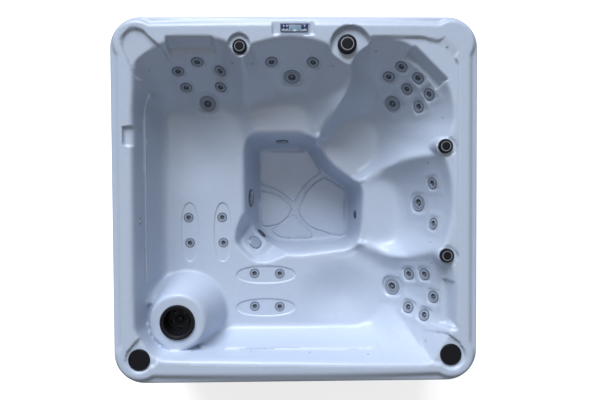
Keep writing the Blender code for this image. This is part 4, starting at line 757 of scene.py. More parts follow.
class Shader(Nodes):
    """Node material under one Principled shader."""

    def __init__(self, name: str) -> None:
        """Start a material.

        Args:
            name: Name of the material.
        """
        self.material = bpy.data.materials.new(name)
        super().__init__(self.material)
        self.surface = self.tree.nodes['Principled BSDF']
        self.coords = self.node('TexCoord').outputs['Object']

    def set(self, **values: float) -> None:
        """Set plain values on the shader; an underscore in a name stands for a space."""
        for name, value in values.items():
            self.surface.inputs[name.replace('_', ' ')].default_value = value

    def noise(self, scale: float, detail: float = 3.0, stretch: Colour = (1.0, 1.0, 1.0)) -> Socket:
        """Cloudy pattern in the piece's own space, from 0 to 1, with so many blotches to a metre."""
        place = self.node('Mapping', {'Vector': self.coords, 'Scale': stretch}).outputs['Vector']
        return self.node('TexNoise', {'Vector': place, 'Scale': scale, 'Detail': detail}).outputs['Fac']

    def spread(self, value: Socket, low: float, high: float, start: float = 0.3, end: float = 0.7) -> Socket:
        """Socket that goes from low to high as its value goes from start to end."""
        ends = {'From Min': start, 'From Max': end, 'To Min': low, 'To Max': high}
        return self.node('MapRange', {'Value': value, **ends}).outputs['Result']

    def blend(self, share: Socket, low: Colour, high: Colour) -> Socket:
        """Colour that goes from low to high as a share goes from 0 to 1."""
        return self.node('Mix', {0: share, 6: (*low, 1.0), 7: (*high, 1.0)}, data_type='RGBA').outputs[2]

    def colour(self, socket: Socket) -> None:
        """Use a socket as the base colour."""
        self.tree.links.new(socket, self.surface.inputs['Base Color'])

    def roughness(self, socket: Socket) -> None:
        """Use a socket as the roughness."""
        self.tree.links.new(socket, self.surface.inputs['Roughness'])

    def relief(self, height: Socket, distance: float) -> None:
        """Bump the surface with a pattern as deep as the distance."""
        bump = self.node('Bump', {'Height': height, 'Distance': distance, 'Strength': 1.0})
        self.tree.links.new(bump.outputs['Normal'], self.surface.inputs['Normal'])


def shade(colour: Colour, share: float) -> Colour:
    """Colour made darker or lighter by a share."""
    return tuple(min(1.0, c * share) for c in colour)


MATERIALS: dict[object, bpy.types.Material] = {}


@dataclass(frozen=True)
class Finish:
    """Moulded plastic, rubber or painted metal, with a fine grain and a colour that wanders a little."""

    name: str
    colour: Colour
    roughness: float
    grain: float = 700.0
    grain_depth: float = 0.00004
    wander: float = 0.1
    cloud: float = 25.0
    metallic: float = 0.0
    coat: float = 0.0
    gloss: float = 0.5

    def tones(self) -> tuple[Colour, Colour]:
        """Darkest and lightest colour of the finish."""
        return shade(self.colour, 1 - self.wander), shade(self.colour, 1 + self.wander)

    def material(self) -> bpy.types.Material:
        """Material of this finish, made once."""
        if self not in MATERIALS:
            shader = Shader(self.name)
            self.lay_out(shader)
            MATERIALS[self] = shader.material
        return MATERIALS[self]

    def lay_out(self, shader: Shader) -> None:
        """Lay out the nodes of the finish.

        Args:
            shader: Shader to fill.
        """
        shader.set(Metallic=self.metallic, Specular_IOR_Level=self.gloss)
        shader.set(Coat_Weight=self.coat, Coat_Roughness=0.08)
        shader.colour(shader.blend(shader.noise(self.cloud, 4.0), *self.tones()))
        grain = shader.noise(self.grain, 2.0)
        shader.roughness(shader.spread(grain, self.roughness * 0.85, min(1.0, self.roughness * 1.15)))
        shader.relief(grain, self.grain_depth)


@dataclass(frozen=True)
class Acrylic(Finish):
    """Glossy cast acrylic with soft marbling and fine pearly flecks."""

    def lay_out(self, shader: Shader) -> None:
        """Lay out the nodes of the acrylic.

        Args:
            shader: Shader to fill.
        """
        shader.set(Coat_Weight=self.coat, Coat_Roughness=0.22)
        cloud = shader.noise(self.cloud, 6.0)
        tone = shader.blend(shader.spread(cloud, 0.0, 1.0), *self.tones())
        fleck = shader.spread(shader.noise(self.grain, 2.0), 0.0, 0.35, 0.62, 0.75)
        pearl = (*shade(self.colour, 1.35), 1.0)
        shader.colour(shader.node('Mix', {0: fleck, 6: tone, 7: pearl}, data_type='RGBA').outputs[2])
        shader.roughness(shader.spread(cloud, self.roughness * 0.8, self.roughness * 1.2))
        shader.relief(shader.noise(18.0, 2.0), self.grain_depth)


@dataclass(frozen=True)
class Laminate(Finish):
    """Chopped glass mat in resin, as sprayed on the back of the acrylic."""

    def lay_out(self, shader: Shader) -> None:
        """Lay out the nodes of the laminate.

        Args:
            shader: Shader to fill.
        """
        strands = shader.node('TexVoronoi', {'Vector': shader.coords, 'Scale': self.grain},
                              feature='DISTANCE_TO_EDGE').outputs['Distance']
        share = shader.spread(strands, 0.0, 1.0, 0.0, 0.25)
        shader.colour(shader.blend(share, shade(self.colour, 1.12), shade(self.colour, 0.9)))
        shader.roughness(shader.spread(share, self.roughness, self.roughness * 0.7, 0.0, 1.0))
        shader.relief(shader.noise(90.0, 5.0), self.grain_depth)


@dataclass(frozen=True)
class Board(Finish):
    """Wood-look composite board with long streaks along its length."""

    along: Colour = (1.0, 12.0, 12.0)

    def lay_out(self, shader: Shader) -> None:
        """Lay out the nodes of the board.

        Args:
            shader: Shader to fill.
        """
        streak = shader.noise(self.cloud, 6.0, self.along)
        shader.colour(shader.blend(shader.spread(streak, 0.0, 1.0, 0.35, 0.65), *self.tones()))
        pores = shader.noise(self.grain, 3.0, self.along)
        shader.roughness(shader.spread(pores, self.roughness * 0.85, self.roughness * 1.1))
        shader.relief(pores, self.grain_depth)


ACRYLIC = Acrylic('acrylic', (0.47, 0.54, 0.66), 0.38, grain=900.0, grain_depth=0.0002, wander=0.018,
                  cloud=30.0, coat=0.05)
LAMINATE = Laminate('laminate', (0.5, 0.49, 0.4), 0.45, grain=120.0, grain_depth=0.0015)
JET_RING = Finish('jet_ring', (0.15, 0.175, 0.225), 0.38)
JET_PALE = Finish('jet_pale', (0.3, 0.345, 0.43), 0.35)
JET_THROAT = Finish('jet_throat', (0.11, 0.128, 0.17), 0.4)
JET_NOZZLE = Finish('jet_nozzle', (0.33, 0.37, 0.45), 0.25)
VALVE_BLACK = Finish('valve_black', (0.01, 0.011, 0.016), 0.45, gloss=0.15)
VALVE_RING = Finish('valve_ring', (0.3, 0.325, 0.37), 0.3)
COVER_BLACK = Finish('cover_black', (0.01, 0.011, 0.014), 0.55, gloss=0.2)
COVER_CLOTH = Finish('cover_cloth', (0.008, 0.008, 0.01), 0.85, grain=1400.0, grain_depth=0.0004, gloss=0.2)
COVER_RING = Finish('cover_ring', (0.035, 0.038, 0.048), 0.3)
SATIN_STEEL = Finish('satin_steel', (0.48, 0.5, 0.54), 0.28, metallic=1.0, grain=500.0)
LENS_BEZEL = Finish('lens_bezel', (0.13, 0.155, 0.2), 0.25, coat=0.4)
LENS = Finish('lens', (0.3, 0.37, 0.48), 0.1, coat=0.8, wander=0.06)
LIGHT_BEZEL = Finish('light_bezel', (0.23, 0.27, 0.35), 0.25)
LIGHT_GLASS = Finish('light_glass', (0.55, 0.64, 0.76), 0.08, coat=0.8)
KEYPAD_PALE = Finish('keypad_pale', (0.42, 0.5, 0.64), 0.3, coat=0.2)
KEYPAD_NAVY = Finish('keypad_navy', (0.02, 0.035, 0.105), 0.18, coat=0.6)
KEYPAD_SCREEN = Finish('keypad_screen', (0.23, 0.34, 0.46), 0.1, coat=0.8)
KEYPAD_KEY = Finish('keypad_key', (0.42, 0.47, 0.68), 0.35)
FILTER_BLACK = Finish('filter_black', (0.009, 0.01, 0.013), 0.45, gloss=0.2)
PLEATS = Finish('pleats', (0.78, 0.79, 0.78), 0.85, grain=500.0, grain_depth=0.0003, wander=0.05)
FILTER_CAP = Finish('filter_cap', (0.016, 0.018, 0.022), 0.5)
BASE_BLACK = Finish('base_black', (0.012, 0.013, 0.015), 0.6, grain_depth=0.0001)
FRAME_CHARCOAL = Finish('frame_charcoal', (0.048, 0.05, 0.054), 0.5, grain_depth=0.0001)
BOARD_X = Board('board_x', (0.055, 0.057, 0.06), 0.55, grain=60.0, grain_depth=0.0004, wander=0.22,
                cloud=6.0)
BOARD_Y = replace(BOARD_X, name='board_y', along=(12.0, 1.0, 12.0))
FOAM = Finish('foam', (0.7, 0.69, 0.65), 0.9, grain=300.0, grain_depth=0.001)
PUMP_BLACK = Finish('pump_black', (0.014, 0.015, 0.017), 0.42, grain_depth=0.0001)
PACK_CHARCOAL = Finish('pack_charcoal', (0.055, 0.058, 0.062), 0.45, grain_depth=0.0001)
PIPE_WHITE = Finish('pipe_white', (0.78, 0.79, 0.8), 0.38)


# Modelling by hand

def leave_edit() -> None:
    """Go back to object mode."""
    bpy.ops.object.mode_set(mode='OBJECT')


def deselect() -> None:
    """Leave edit mode and clear the selection."""
    if bpy.context.mode != 'OBJECT':
        leave_edit()
    bpy.ops.object.select_all(action='DESELECT')


def activate(piece: Piece) -> None:
    """Select one piece alone and make it active."""
    deselect()
    piece.select_set(True)
    bpy.context.view_layer.objects.active = piece


def edit(piece: Piece, kind: str) -> None:
    """Go into edit mode on one piece and select by vertex, edge or face."""
    activate(piece)
    bpy.ops.object.mode_set(mode='EDIT')
    bpy.ops.mesh.select_mode(type=kind)


def discard(*pieces: Piece) -> None:
    """Delete pieces that have only served as patterns or cutters."""
    for piece in pieces:
        bpy.data.objects.remove(piece)


def apply(piece: Piece, kind: str, **settings: object) -> None:
    """Add a modifier and apply it.

    Args:
        piece: Piece to change.
        kind: Type of the modifier.
        settings: Options of the modifier.
    """
    modifier = piece.modifiers.new(kind.lower(), kind)
    for name, value in settings.items():
        setattr(modifier, name, value)
    activate(piece)
    bpy.ops.object.modifier_apply(modifier=modifier.name)


def smoothed(piece: Piece, angle: float = 40.0) -> Piece:
    """Shade a piece smooth up to an angle in degrees."""
    activate(piece)
    bpy.ops.object.shade_smooth_by_angle(angle=math.radians(angle))
    return piece


def soften(piece: Piece, width: float, angle: float = 30.0) -> Piece:
    """Round the edges of a piece that are sharper than an angle in degrees, and shade it smooth."""
    apply(piece, 'BEVEL', width=width, segments=2, limit_method='ANGLE', angle_limit=math.radians(angle))
    return smoothed(piece)


def dress(piece: Piece, finishes: Sequence[Finish], zone: Optional[FaceRule] = None) -> Piece:
    """Give a piece its finishes.

    Args:
        piece: Piece to dress.
        finishes: Finishes in slot order.
        zone: Slot number of a face from its centre and normal.

    Returns:
        The piece.
    """
    piece.data.materials.clear()
    for finish in finishes:
        piece.data.materials.append(finish.material())
    if zone is not None:
        for face in piece.data.polygons:
            face.material_index = zone(face.center, face.normal)
    return piece


def mount(piece: Piece, body: str, slot: str, nodes: Sequence[str] = ()) -> None:
    """Let a piece ride on a body and stand for CAD nodes.

    Args:
        piece: Finished piece.
        body: Body that carries it.
        slot: Not used.
        nodes: CAD nodes that it stands for.
    """
    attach(piece, body)
    if nodes:
        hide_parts(*nodes)
    LOG.info('%s: %d faces, on %s', piece.name, len(piece.data.polygons), body)


def raise_region(height: float) -> None:
    """Extrude the selected region upwards."""
    bpy.ops.mesh.extrude_region_move(TRANSFORM_OT_translate={'value': (0.0, 0.0, height)})


def turned(name: str, profile: Outline, sides: int = 48) -> Piece:
    """Round body, extruded and resized step by step from a filled circle.

    Args:
        name: Name of the piece.
        profile: Radius and height of each step, from the foot up to the middle of the face.
        sides: Faces round the body.

    Returns:
        Closed body with its axis on Z.
    """
    deselect()
    radius, height = profile[0]
    bpy.ops.mesh.primitive_circle_add(vertices=sides, radius=radius, fill_type='NGON', enter_editmode=True,
                                      location=ORIGIN)
    bpy.ops.transform.translate(value=(0.0, 0.0, height))
    for new_radius, new_height in profile[1:]:
        raise_region(new_height - height)
        share = new_radius / radius
        bpy.ops.transform.resize(value=(share, share, 1.0), center_override=(0.0, 0.0, new_height))
        radius, height = new_radius, new_height
    return closed(name)


def closed(name: str) -> Piece:
    """Turn all faces of the piece in edit mode outwards and leave edit mode.

    Args:
        name: Name of the piece.

    Returns:
        The piece.
    """
    bpy.ops.mesh.select_all(action='SELECT')
    bpy.ops.mesh.normals_make_consistent(inside=False)
    leave_edit()
    piece = bpy.context.object
    piece.name = piece.data.name = name
    return piece


def block(name: str, low: Sequence[float], high: Sequence[float]) -> Piece:
    """Block between two corners, from a cube resized and moved in edit mode.

    Args:
        name: Name of the piece.
        low: Lowest corner.
        high: Highest corner.

    Returns:
        The block.
    """
    deselect()
    bpy.ops.mesh.primitive_cube_add(size=1.0, enter_editmode=True, location=ORIGIN)
    low, high = Vector(low), Vector(high)
    bpy.ops.transform.resize(value=high - low, center_override=ORIGIN)
    bpy.ops.transform.translate(value=(low + high) / 2)
    return closed(name)


def from_axis(place: Vector) -> float:
    """Distance of a place from the Z axis."""
    return math.hypot(place.x, place.y)


def select_faces(piece: Piece, chosen: Sequence[bool]) -> None:
    """Go into edit mode with some faces selected.

    Args:
        piece: Piece to edit.
        chosen: Whether each face is selected.
    """
    edit(piece, 'FACE')
    bpy.ops.mesh.select_all(action='DESELECT')
    leave_edit()
    piece.data.polygons.foreach_set('select', chosen)
    bpy.ops.object.mode_set(mode='EDIT')


def rows_of(items: bpy.types.bpy_prop_collection, place: str) -> Array:
    """Places of a mesh's faces or points, a row each."""
    values = np.empty(len(items) * 3)
    items.foreach_get(place, values)
    return values.reshape(-1, 3)


def every_other(centre: Vector, sides: int) -> bool:
    """Whether a face lies in an even sector round the axis."""
    return math.floor(math.atan2(centre.y, centre.x) / (2 * math.pi) * sides + sides) % 2 == 0


def press_in(piece: Piece, test: FaceRule, border: float, depth: float) -> Piece:
    """Inset some faces one by one and push them in.

    Args:
        piece: Piece to edit.
        test: Whether a face is pressed in, from its centre and normal.
        border: Width left round each face.
        depth: Depth of each hollow.

    Returns:
        The piece.
    """
    select_faces(piece, [bool(test(face.center, face.normal)) for face in piece.data.polygons])
    bpy.ops.mesh.inset(use_individual=True, thickness=border, depth=-depth)
    leave_edit()
    return piece


def cut_away(piece: Piece, cutter: Piece) -> Piece:
    """Cut one body out of another and delete the cutter."""
    apply(piece, 'BOOLEAN', operation='DIFFERENCE', solver='EXACT', object=cutter)
    discard(cutter)
    return piece


def joined(name: str, parts: Sequence[Piece]) -> Piece:
    """Join bodies into one piece.

    Args:
        name: Name of the piece.
        parts: Bodies to join.

    Returns:
        The piece.
    """
    activate(parts[0])
    for part in parts[1:]:
        part.select_set(True)
    bpy.ops.object.join()
    parts[0].name = parts[0].data.name = name
    return parts[0]


def placed(pattern: Piece, name: str, matrix: Matrix) -> Piece:
    """Copy of a modelled piece, with a mesh of its own moved to its place.

    Args:
        pattern: Piece modelled round the origin.
        name: Name of the copy.
        matrix: Placement.

    Returns:
        The copy.
    """
    piece = pattern.copy()
    piece.data = pattern.data.copy()
    piece.data.transform(matrix)
    piece.name = piece.data.name = name
    bpy.context.scene.collection.objects.link(piece)
    return piece


def upright(place: Vector, axis: Vector) -> Matrix:
    """Placement whose Z runs out of the shell along an axis."""
    return Matrix.Translation(place) @ Vector(axis).to_track_quat('Z', 'Y').to_matrix().to_4x4()


def refinish(finish: Finish, *nodes: str) -> None:
    """Give CAD nodes that keep their shape a better finish."""
    for name in nodes:
        for slot in frame['nodes'][name].material_slots:
            slot.material = finish.material()
        LOG.info('%s: keeps its shape, in %s', name, finish.name)


def node_place(name: str, proud: float) -> tuple[Vector, Vector]:
    """Where a round fitting's node meets the shell, and its way out.

    Args:
        name: Name of the CAD node.
        proud: Height of its highest point over the shell.

    Returns:
        Place and axis.
    """
    mesh = frame['nodes'][name].data
    areas: dict[tuple[float, ...], float] = {}
    for face in mesh.polygons:
        way = tuple(round(v, 2) for v in face.normal)
        areas[way] = areas.get(way, 0.0) + face.area
    axis = -Vector(max(areas, key=areas.get)).normalized()
    points = [Vector(p) for p in {tuple(round(v, 5) for v in vertex.co) for vertex in mesh.vertices}]
    middle = sum(points, Vector()) / len(points)
    top = max(point.dot(axis) for point in points) - proud
    return middle + axis * (top - middle.dot(axis)), axis


def running(radius: float) -> float:
    """Radius of a round piece that runs in a seat of this radius."""
    return radius * SEAT_FIT_SHARE - FIT_GAP


def below_seat(face: float, stem: float) -> list[Point]:
    """Profile of a fitting's stem and of the foot of its flange."""
    return [(stem, -STEM_LENGTH), (stem, SEAT_FOOT), (face, SEAT_FOOT)]


def stepped(radius: float, top: float, steps: Outline) -> list[Point]:
    """Profile from steps that are given as a share of the radius and a rise from the top."""
    return [(radius * share, top + rise) for share, rise in steps]


# Shell

@dataclass
class TubShell:
    """Moulded shell: a fine top skin, a rolled lip and a coarser underside, cut for its fittings."""

    form: ShellForm
    cells: int = 240
    under_cells: int = 150
    under_share: float = 0.3
    thickness: float = 0.009
    edge_roll: float = 0.014
    corner_radius: float = 0.18
    relax_rounds: int = 60
    relax_share: float = 0.6
    side_gap: float = 0.0006
    refine_depth: float = 0.05
    smooth_angle: float = 75.0
    cutters: list[Piece] = field(default_factory=list)

    def net(self, cells: int, inset: float) -> tuple[Array, Array]:
        """Net of points over a rounded square, drawn together where the surface is steep.

        Args:
            cells: Cells along a side.
            inset: Distance of its edge inside the tub's side.

        Returns:
            Places along X and along Y.
        """
        half, radius = HALF - inset, self.corner_radius - inset
        steps = np.linspace(-1.0, 1.0, cells + 1)
        u, v = np.meshgrid(steps, steps, indexing='ij')
        ring = np.maximum(np.abs(u), np.abs(v))
        safe = np.where(ring == 0, 1.0, ring)
        x, y = u / safe * half, v / safe * half
        core = half - radius
        ox, oy = np.clip(np.abs(x) - core, 0, None), np.clip(np.abs(y) - core, 0, None)
        corner = (ox > 0) & (oy > 0)
        scale = np.where(corner, radius / np.where(corner, np.hypot(ox, oy), 1.0), 1.0)
        x = ring * np.sign(x) * np.where(corner, core + ox * scale, np.abs(x))
        y = ring * np.sign(y) * np.where(corner, core + oy * scale, np.abs(y))
        for _ in range(self.relax_rounds):
            x, y = self.relaxed(x, y)
        return x, y

    def relaxed(self, x: Array, y: Array) -> tuple[Array, Array]:
        """Move each inner point of a net towards its steeper sides.

        Args:
            x: Places along X.
            y: Places along Y.

        Returns:
            New places.
        """
        z = self.form.sample(self.form.full, x, y)
        wx = np.maximum(np.hypot(np.diff(x, axis=0), np.diff(y, axis=0)), 1e-5)
        wy = np.maximum(np.hypot(np.diff(x, axis=1), np.diff(y, axis=1)), 1e-5)
        sx = np.sqrt(1 + (np.diff(z, axis=0) / wx) ** 2)
        sy = np.sqrt(1 + (np.diff(z, axis=1) / wy) ** 2)
        west, east = sx[:-1, 1:-1], sx[1:, 1:-1]
        south, north = sy[1:-1, :-1], sy[1:-1, 1:]
        total = west + east + south + north
        for p in (x, y):
            across = west * p[:-2, 1:-1] + east * p[2:, 1:-1]
            mean = (across + south * p[1:-1, :-2] + north * p[1:-1, 2:]) / total
            p[1:-1, 1:-1] += self.relax_share * (mean - p[1:-1, 1:-1])
        return x, y

    def skin(self, x: Array, y: Array, z: Array, rows: Outline, upward: bool) -> Piece:
        """Mesh of a net with rows of points added outside its edge.

        Args:
            x: Places along X.
            y: Places along Y.
            z: Heights.
            rows: Distance outwards and height under the edge of each added row.
            upward: Whether its faces look up.

        Returns:
            New object.
        """
        n = x.shape[0]
        verts = np.stack([x, y, z], axis=-1).reshape(-1, 3).tolist()
        faces = [(i * n + j, (i + 1) * n + j, (i + 1) * n + j + 1, i * n + j + 1)
                 for i in range(n - 1) for j in range(n - 1)]
        edge = ([i * n for i in range(n - 1)] + [(n - 1) * n + j for j in range(n - 1)]
                + [i * n + n - 1 for i in range(n - 1, 0, -1)] + list(range(n - 1, 0, -1)))
        ring = np.array([verts[k] for k in edge])
        core = HALF - self.corner_radius
        out = ring[:, :2] - np.clip(ring[:, :2], -core, core)
        out /= np.linalg.norm(out, axis=1, keepdims=True)
        above = edge
        for reach, level in rows:
            below = list(range(len(verts), len(verts) + len(edge)))
            verts += np.column_stack([ring[:, :2] + out * reach, ring[:, 2] * 0 + level]).tolist()
            faces += [(above[k], below[k], below[(k + 1) % len(edge)], above[(k + 1) % len(edge)])
                      for k in range(len(edge))]
            above = below
        if not upward:
            faces = [face[::-1] for face in faces]
        mesh = bpy.data.meshes.new('skin')
        mesh.from_pydata([(vx, vy, vz + RIM_HEIGHT) for vx, vy, vz in verts], [], faces)
        piece = bpy.data.objects.new('skin', mesh)
        bpy.context.scene.collection.objects.link(piece)
        return piece

    def refine(self, top: Piece) -> None:
        """Split the faces on small forms and lay the new points on the surface.

        Args:
            top: Top skin.
        """
        mesh = top.data
        centres = rows_of(mesh.polygons, 'center')
        fine = self.form.fine_zone(centres[:, 0], centres[:, 1])
        fine &= centres[:, 2] < RIM_HEIGHT - self.refine_depth
        old = len(mesh.vertices)
        select_faces(top, fine)
        bpy.ops.mesh.subdivide(number_cuts=1)
        leave_edit()
        points = rows_of(mesh.vertices, 'co')
        new = points[old:]
        new[:, 2] = self.form.height(new[:, 0], new[:, 1]) + RIM_HEIGHT
        mesh.vertices.foreach_set('co', points.ravel())
        mesh.update()

    def underside(self, x: Array, y: Array) -> Array:
        """Height of the underside: the lowest point of a ball of the wall's thickness rolled on the top.

        Args:
            x: Places along X.
            y: Places along Y.

        Returns:
            Height below the rim.
        """
        low = self.form.height(x, y) - self.thickness
        for share in (0.5, 1.0):
            reach = self.thickness * share
            fall = math.sqrt(self.thickness ** 2 - reach ** 2)
            for k in range(8):
                angle = math.pi / 4 * k
                around = self.form.height(x + reach * math.cos(angle), y + reach * math.sin(angle))
                low = np.minimum(low, around - fall)
        return low

    def build(self) -> None:
        """Model the shell, join its two skins and cut it for the fittings."""
        roll, lip = self.edge_roll, -self.form.ledge_drop - self.form.lip_depth
        x, y = self.net(self.cells, roll + self.side_gap)
        turns = [(roll * math.sin(a), -self.form.ledge_drop - roll * (1 - math.cos(a)))
                 for a in (math.radians(d) for d in (30, 60, 90))]
        top = self.skin(x, y, self.form.height(x, y), turns + [(roll, lip)], True)
        self.refine(top)
        x, y = self.net(self.under_cells, roll + self.side_gap)
        inner = roll - self.thickness
        edges = [(inner, -self.form.ledge_drop - roll), (inner, lip)]
        under = self.skin(x, y, self.underside(x, y), edges, False)
        apply(under, 'DECIMATE', ratio=self.under_share)
        dress(top, [ACRYLIC, LAMINATE])
        dress(under, [ACRYLIC, LAMINATE], lambda c, n: 1)
        shell = joined('tub_shell', [top, under])
        edit(shell, 'EDGE')
        bpy.ops.mesh.select_all(action='DESELECT')
        bpy.ops.mesh.select_non_manifold(extend=False)
        bpy.ops.mesh.bridge_edge_loops()
        bpy.ops.mesh.select_all(action='DESELECT')
        leave_edit()
        apply(shell, 'TRIANGULATE')
        for cutter in self.cutters:
            cut_away(shell, cutter)
        mount(smoothed(shell, self.smooth_angle), 'root', 'acrylic', ['shell'])


# Seats in the shell

@dataclass
class Seats:
    """Flats and round seats of the fittings, cut in the shell in one go."""

    form: ShellForm
    sink: float = 0.004
    slack: float = 0.0006
    hole_depth: float = 0.03
    low_reach: float = 0.016
    level_reach: float = 0.05
    level_axis: float = 0.9999
    sides: int = 40
    bodies: list[Piece] = field(default_factory=list)
    patterns: dict[tuple[float, ...], Piece] = field(default_factory=dict)

    def seat(self, place: Vector, axis: Vector, radius: float, hole: float) -> Matrix:
        """Seat one fitting.

        Args:
            place: Where its axis meets the shell.
            axis: Way out of the shell.
            radius: Radius of the fitting.
            hole: Radius of its stem.

        Returns:
            Placement of the fitting.
        """
        place, axis = Vector(place), Vector(axis).normalized()
        level = axis.z > self.level_axis
        if not level:
            self.form.add_flat(place, axis, radius)
        reach = self.level_reach if level else self.low_reach
        key = (radius, hole, reach)
        if key not in self.patterns:
            wide, narrow = radius + self.slack, hole + self.slack
            self.patterns[key] = turned('seat', [(narrow, -self.hole_depth), (narrow, -self.sink),
                                                 (wide, -self.sink), (wide, reach)], self.sides)
        matrix = upright(place, axis)
        self.bodies.append(placed(self.patterns[key], 'seat', matrix))
        return matrix

    def cutter(self) -> Piece:
        """All seats as one cutting body."""
        discard(*self.patterns.values())
        return joined('seat_cutter', self.bodies)


# Jets

class JetKind(Enum):
    """Kinds of jet: radius of the seat, radius of the hole and height over the shell."""

    LARGE = (0.056, 0.034, 0.004)
    SMALL = (0.04, 0.024, 0.003)
    CALF = (0.034, 0.021, 0.002)


JET_BANDS = {JetKind.LARGE: ((0.95, 0), (0.77, 1), (0.63, 0), (0.43, 1), (0.16, 2), (0.0, 3)),
             JetKind.SMALL: ((0.8, 0), (0.47, 1), (0.16, 2), (0.0, 3)),
             JetKind.CALF: ((0.8, 0), (0.47, 1), (0.0, 2))}


@dataclass
class Jets:
    """All jets: each a ringed face with a throat and a nozzle, turning on its own body."""

    throat_depth: float = 0.01
    edge_drop: float = 0.0014
    rings: Outline = ((0.93, 0.0), (0.82, 0.0), (0.76, -0.0022), (0.66, -0.0022), (0.6, -0.0004),
                      (0.47, -0.0008), (0.38, -0.0065))
    floor_share: float = 0.31
    nozzle: Outline = ((0.13, -0.0075), (0.08, -0.0075))
    nozzle_foot: float = 0.15
    bore_share: float = 0.8
    flutes: int = 24
    places: dict[str, tuple[JetKind, Matrix]] = field(default_factory=dict)

    def kind_of(self, name: str, names: Sequence[str]) -> JetKind:
        """Kind of a jet: the last of each back group is the large one.

        Args:
            name: Name of the jet.
            names: Names of all jets.

        Returns:
            Its kind.
        """
        group, number = name.rsplit('_', 1)
        last = max(int(other.rsplit('_', 1)[1]) for other in names if other.startswith(group))
        if 'calf' in group:
            return JetKind.CALF
        return JetKind.LARGE if int(number) == last else JetKind.SMALL

    def seat(self, seats: Seats) -> None:
        """Seat every jet where its joint turns.

        Args:
            seats: Seats of the shell.
        """
        joints = {joint['child']: joint for joint in frame['joints'] if '_jet_' in joint['child']}
        for name, joint in joints.items():
            kind = self.kind_of(name, list(joints))
            face, stem = (running(radius) for radius in kind.value[:2])
            self.places[name] = (kind, seats.seat(joint['pos_m'], joint['axis'], face, stem))

    def pattern(self, kind: JetKind) -> Piece:
        """Model one kind of jet round the origin.

        Args:
            kind: Kind of the jet.

        Returns:
            The jet.
        """
        (wide, narrow, proud), low = kind.value, -self.throat_depth
        face, stem = running(wide), running(narrow)
        floor, base, bore = face * self.floor_share, face * self.nozzle_foot, face * self.nozzle[-1][0]
        profile = below_seat(face, stem) + [(face, proud - self.edge_drop)]
        profile += stepped(face, proud, self.rings) + [(floor, low)]
        if kind is not JetKind.CALF:
            profile += [(base, low), *stepped(face, proud, self.nozzle), (bore * self.bore_share, low)]
        piece = turned(kind.name.lower(), profile, self.flutes * 2)
        if kind is not JetKind.CALF:
            press_in(piece, lambda c, n: base * 1.02 < from_axis(c) < floor * 0.98 and n.z > 0.9
                     and every_other(c, self.flutes * 2), 0.0002, 0.003)
        return smoothed(dress(piece, [JET_RING, JET_PALE, JET_THROAT, JET_NOZZLE],
                              lambda c, n: self.zone(from_axis(c) / face, kind)))

    def zone(self, share: float, kind: JetKind) -> int:
        """Finish of a ring of the jet's face."""
        return next(slot for least, slot in JET_BANDS[kind] if share >= least)

    def build(self) -> None:
        """Place a copy of its kind for every jet."""
        patterns = {kind: self.pattern(kind) for kind in JetKind}
        for name, (kind, matrix) in self.places.items():
            mount(placed(patterns[kind], name + '_face', matrix), name, 'jet_grey', [name])
        discard(*patterns.values())


# Valves

class ValveKind(Enum):
    """Kinds of valve: radius of the seat and height over the shell."""

    DIVERTER = (0.058, 0.03)
    AIR = (0.044, 0.022)


@dataclass
class Valves:
    """Diverter and three air controls: a fluted cap with a pale ring round a sunk knob."""

    stem_share: float = 0.45
    grip_foot: float = 0.35
    steps: Outline = ((0.985, -0.006), (0.96, -0.002), (0.91, 0.0), (0.74, 0.0), (0.715, -0.0015),
                      (0.7, -0.003), (0.68, -0.0022), (0.6, -0.0022), (0.58, -0.004), (0.56, -0.004),
                      (0.55, -0.001), (0.5, 0.0), (0.3, -0.0008), (0.1, -0.0012))
    flutes: int = 28
    places: dict[str, tuple[ValveKind, Matrix]] = field(default_factory=dict)

    def seat(self, seats: Seats) -> None:
        """Seat every valve where its joint turns.

        Args:
            seats: Seats of the shell.
        """
        for joint in frame['joints']:
            key = joint['child'].split('_')[0].upper()
            if key in ValveKind.__members__:
                radius = ValveKind[key].value[0]
                matrix = seats.seat(joint['pos_m'], UP, running(radius), running(radius * self.stem_share))
                self.places[joint['child']] = (ValveKind[key], matrix)

    def pattern(self, kind: ValveKind) -> Piece:
        """Model one kind of valve round the origin.

        Args:
            kind: Kind of the valve.

        Returns:
            The valve's moving cap.
        """
        radius, height = kind.value
        cap = running(radius)
        profile = below_seat(cap, running(radius * self.stem_share)) + [(cap, height * self.grip_foot)]
        piece = turned(kind.name.lower(), profile + stepped(cap, height, self.steps), self.flutes * 2)
        press_in(piece, lambda c, n: abs(n.z) < 0.4 and height * 0.3 < c.z < height * 0.8
                 and from_axis(c) > cap * 0.9 and every_other(c, self.flutes * 2), 0.0006, 0.001)
        return smoothed(dress(piece, [VALVE_BLACK, VALVE_RING],
                              lambda c, n: int(cap * 0.59 < from_axis(c) < cap * 0.705 and c.z > 0)))

    def build(self) -> None:
        """Place a copy of its kind for every valve."""
        patterns = {kind: self.pattern(kind) for kind in ValveKind}
        for name, (kind, matrix) in self.places.items():
            mount(placed(patterns[kind], name + '_cap', matrix), name, 'valve_black', [name])
        discard(*patterns.values())


# Round fittings that don't move

